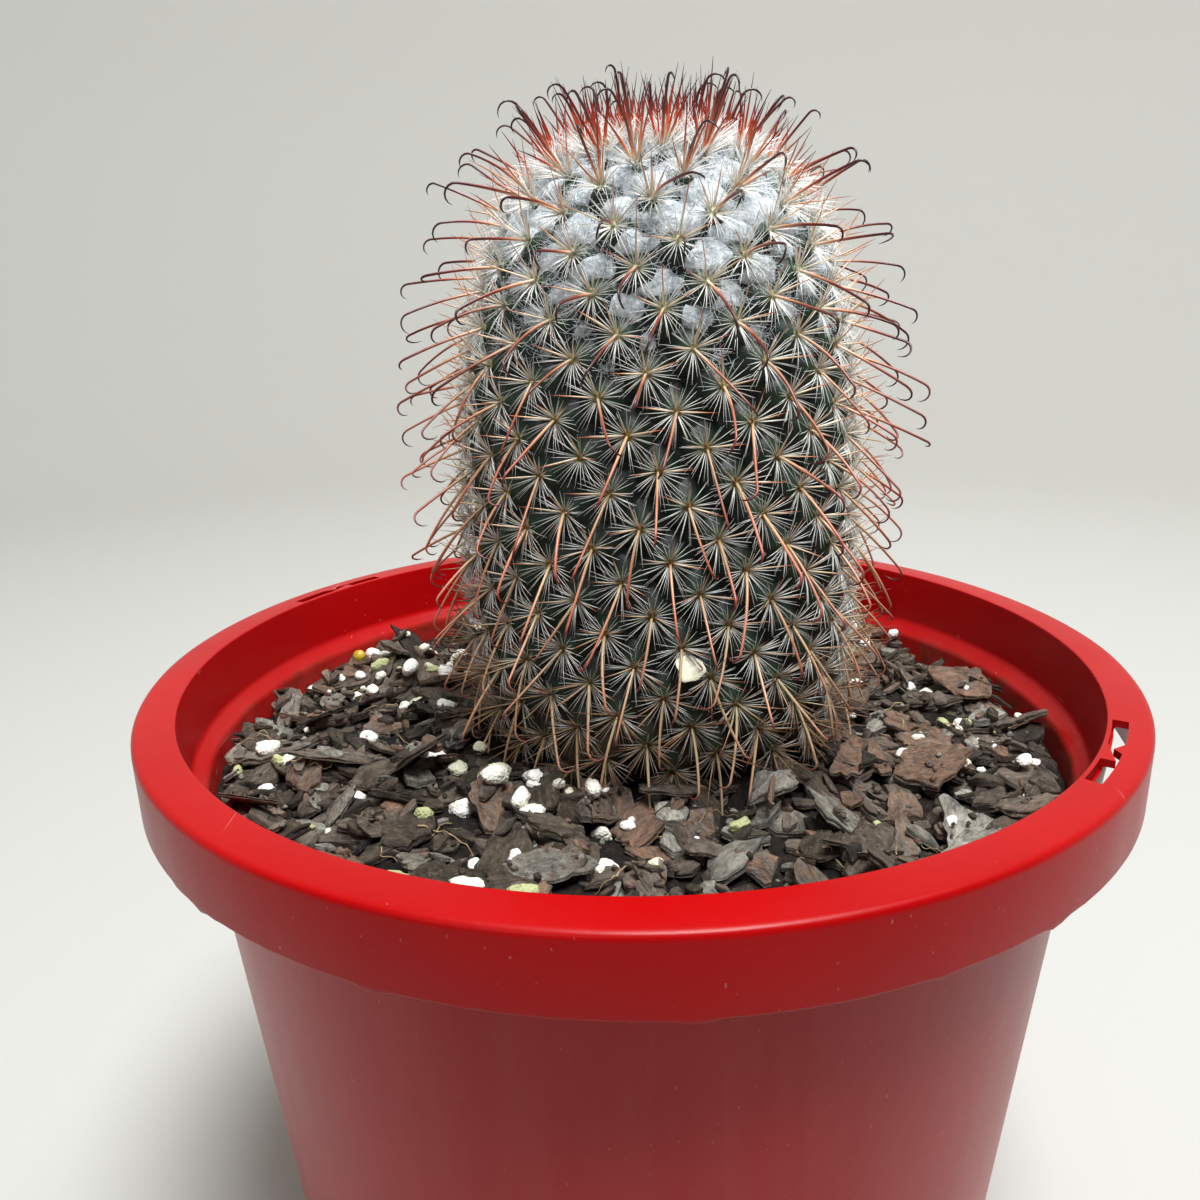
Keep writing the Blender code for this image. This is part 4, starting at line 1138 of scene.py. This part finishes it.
def make_dry_flake():
    """The papery flake caught on the stem: a thin, slightly cupped, notched disc at its CAD place."""
    centre = np.mean(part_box("dry_flake"), axis=0)
    azimuth = math.atan2(centre[1], centre[0] - STEM_X)
    s = float(np.interp(-centre[2], -meridian_z, meridian_s))
    _, out, down, side = (v[0] for v in on_skin(np.array([s]), np.array([azimuth])))
    # it hangs by its top edge between the needles, its foot standing off the skin
    tilt = math.radians(34)
    out, down = out * math.cos(tilt) - down * math.sin(tilt), down * math.cos(tilt) + out * math.sin(tilt)
    centre = centre + out * 1.2 * MM
    columns = 26
    a = around(columns)
    notch = 0.34 * np.exp(-((a - 2.9) / 0.35) ** 2)
    radius = 2.4 * MM * (1 - notch + 0.06 * np.sin(3 * a + 1) + 0.04 * np.sin(7 * a))
    flat = (1.15 * np.cos(a))[:, None] * side + np.sin(a)[:, None] * down
    rings = []
    for share, lift in ((0.35, 0.30), (0.7, 0.26), (0.98, 0.40), (1.0, 0.30), (0.97, 0.18), (0.5, 0.05)):
        cupped = (lift + 0.2 * share ** 2 * np.cos(2 * a)[:, None]) * MM
        rings.append(centre + flat * (radius * share)[:, None] + out * cupped)
    rings = np.array(rings)
    points = shell_points(centre + out * 0.3 * MM, rings[:, ::-1], centre + out * 0.02 * MM)
    piece = new_piece("papery_flake", points, shell_faces(*rings.shape[:2]), FLAKE, "flake")
    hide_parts("dry_flake")


# ---- the stage ----


def make_stage():
    """A pale floor, darker far in front, that sweeps up into a pale wall all round: one turned surface."""
    made, add = start_material("pale_studio_sweep")
    place = add("TexCoord").outputs["Object"]
    depth = add("SeparateXYZ", {"Vector": place}).outputs["Y"]
    near = add("MapRange", {"Value": depth, "From Min": -1.5, "From Max": -0.12})
    tone = add("ValToRGB", {"Fac": near}, [(0.0, "#6A6966"), (0.72, "#6A6966"), (1.0, "#B8B7B1")])
    finish_look(made, tone, 0.7)
    columns = 96
    corner = np.linspace(0, math.pi / 2, 14)
    flat, bend, wall = 1.1, 0.7, 2.6
    radius = np.concatenate((np.linspace(0.05, flat, 10), flat + bend * np.sin(corner[1:]), [flat + bend]))
    height = np.concatenate((np.zeros(10), bend * (1 - np.cos(corner[1:])), [wall]))
    rings = turned(radius[:, None], around(columns), height[:, None])
    quads, fans = shell_faces(len(radius), columns)
    points = np.concatenate((np.zeros((1, 3)), rings.reshape(-1, 3)))
    stage = new_piece("studio_sweep", points, (quads[:, ::-1], fans[:columns]), made, None)


def area_light(name, place, target, size, power, code):
    """A soft round lamp at a place, turned to face a target."""
    lamp = bpy.data.lights.new(name, "AREA")
    lamp.shape = "DISK"
    lamp.size = size
    lamp.energy = power
    lamp.color = linear(code)[:3]
    item = bpy.data.objects.new(name, lamp)
    item.location = place
    item.rotation_euler = (Vector(target) - Vector(place)).to_track_quat("-Z", "Y").to_euler()
    bpy.context.scene.collection.objects.link(item)


def make_light():
    """Soft daylight: a lamp overhead, to the right and in front, a weak fill, and a wash on the wall."""
    middle = (0, 0, POT_TOP)
    area_light("overhead", (0.20, -0.42, 1.38), middle, 0.50, 25.0, "#F6FAFF")
    area_light("front_fill", (-0.5, -1.1, 0.75), middle, 0.9, 2.0, "#F4F8FF")
    area_light("wall_wash", (0.3, 0.1, 1.8), (0.1, 1.8, 0.6), 0.8, 28.0, "#FFFFFF")
    world = bpy.data.worlds.new("pale_room")
    bpy.context.scene.world = world
    world.use_nodes = True
    fill(world.node_tree, world.node_tree.nodes["Background"], {"Color": linear("#EEF0F0"), "Strength": 0.60})
    bpy.context.scene.view_settings.view_transform = "Standard"


def make_camera():
    """Close in front and a little above the rim, looking down by 17 degrees, with a slight roll."""
    lens = bpy.data.cameras.new("camera")
    lens.sensor_width = 36.0
    lens.lens = 30.0
    lens.clip_start = 0.01
    camera = bpy.data.objects.new("camera", lens)
    pitch, yaw, roll = math.radians(17.10), math.radians(-1.97), math.radians(-1.43)
    ahead = Vector((math.sin(yaw) * math.cos(pitch), math.cos(yaw) * math.cos(pitch), -math.sin(pitch)))
    right = Vector((math.cos(yaw), -math.sin(yaw), 0))
    level = right.cross(ahead)
    upward = level * math.cos(roll) - right * math.sin(roll)
    right = right * math.cos(roll) + level * math.sin(roll)
    turn = Matrix((right, upward, -ahead)).transposed().to_4x4()
    camera.matrix_world = Matrix.Translation((0.0001, -0.2037, POT_TOP + 0.0741)) @ turn
    bpy.context.scene.collection.objects.link(camera)
    bpy.context.scene.camera = camera


for make in (make_camera, make_stage, make_light, make_pot, make_stem, make_felt, make_radial_spines,
             make_hooked_spines, make_straight_centrals, make_wool, make_fines, make_bark, make_grains,
             make_fibres, make_dry_flake):
    make()
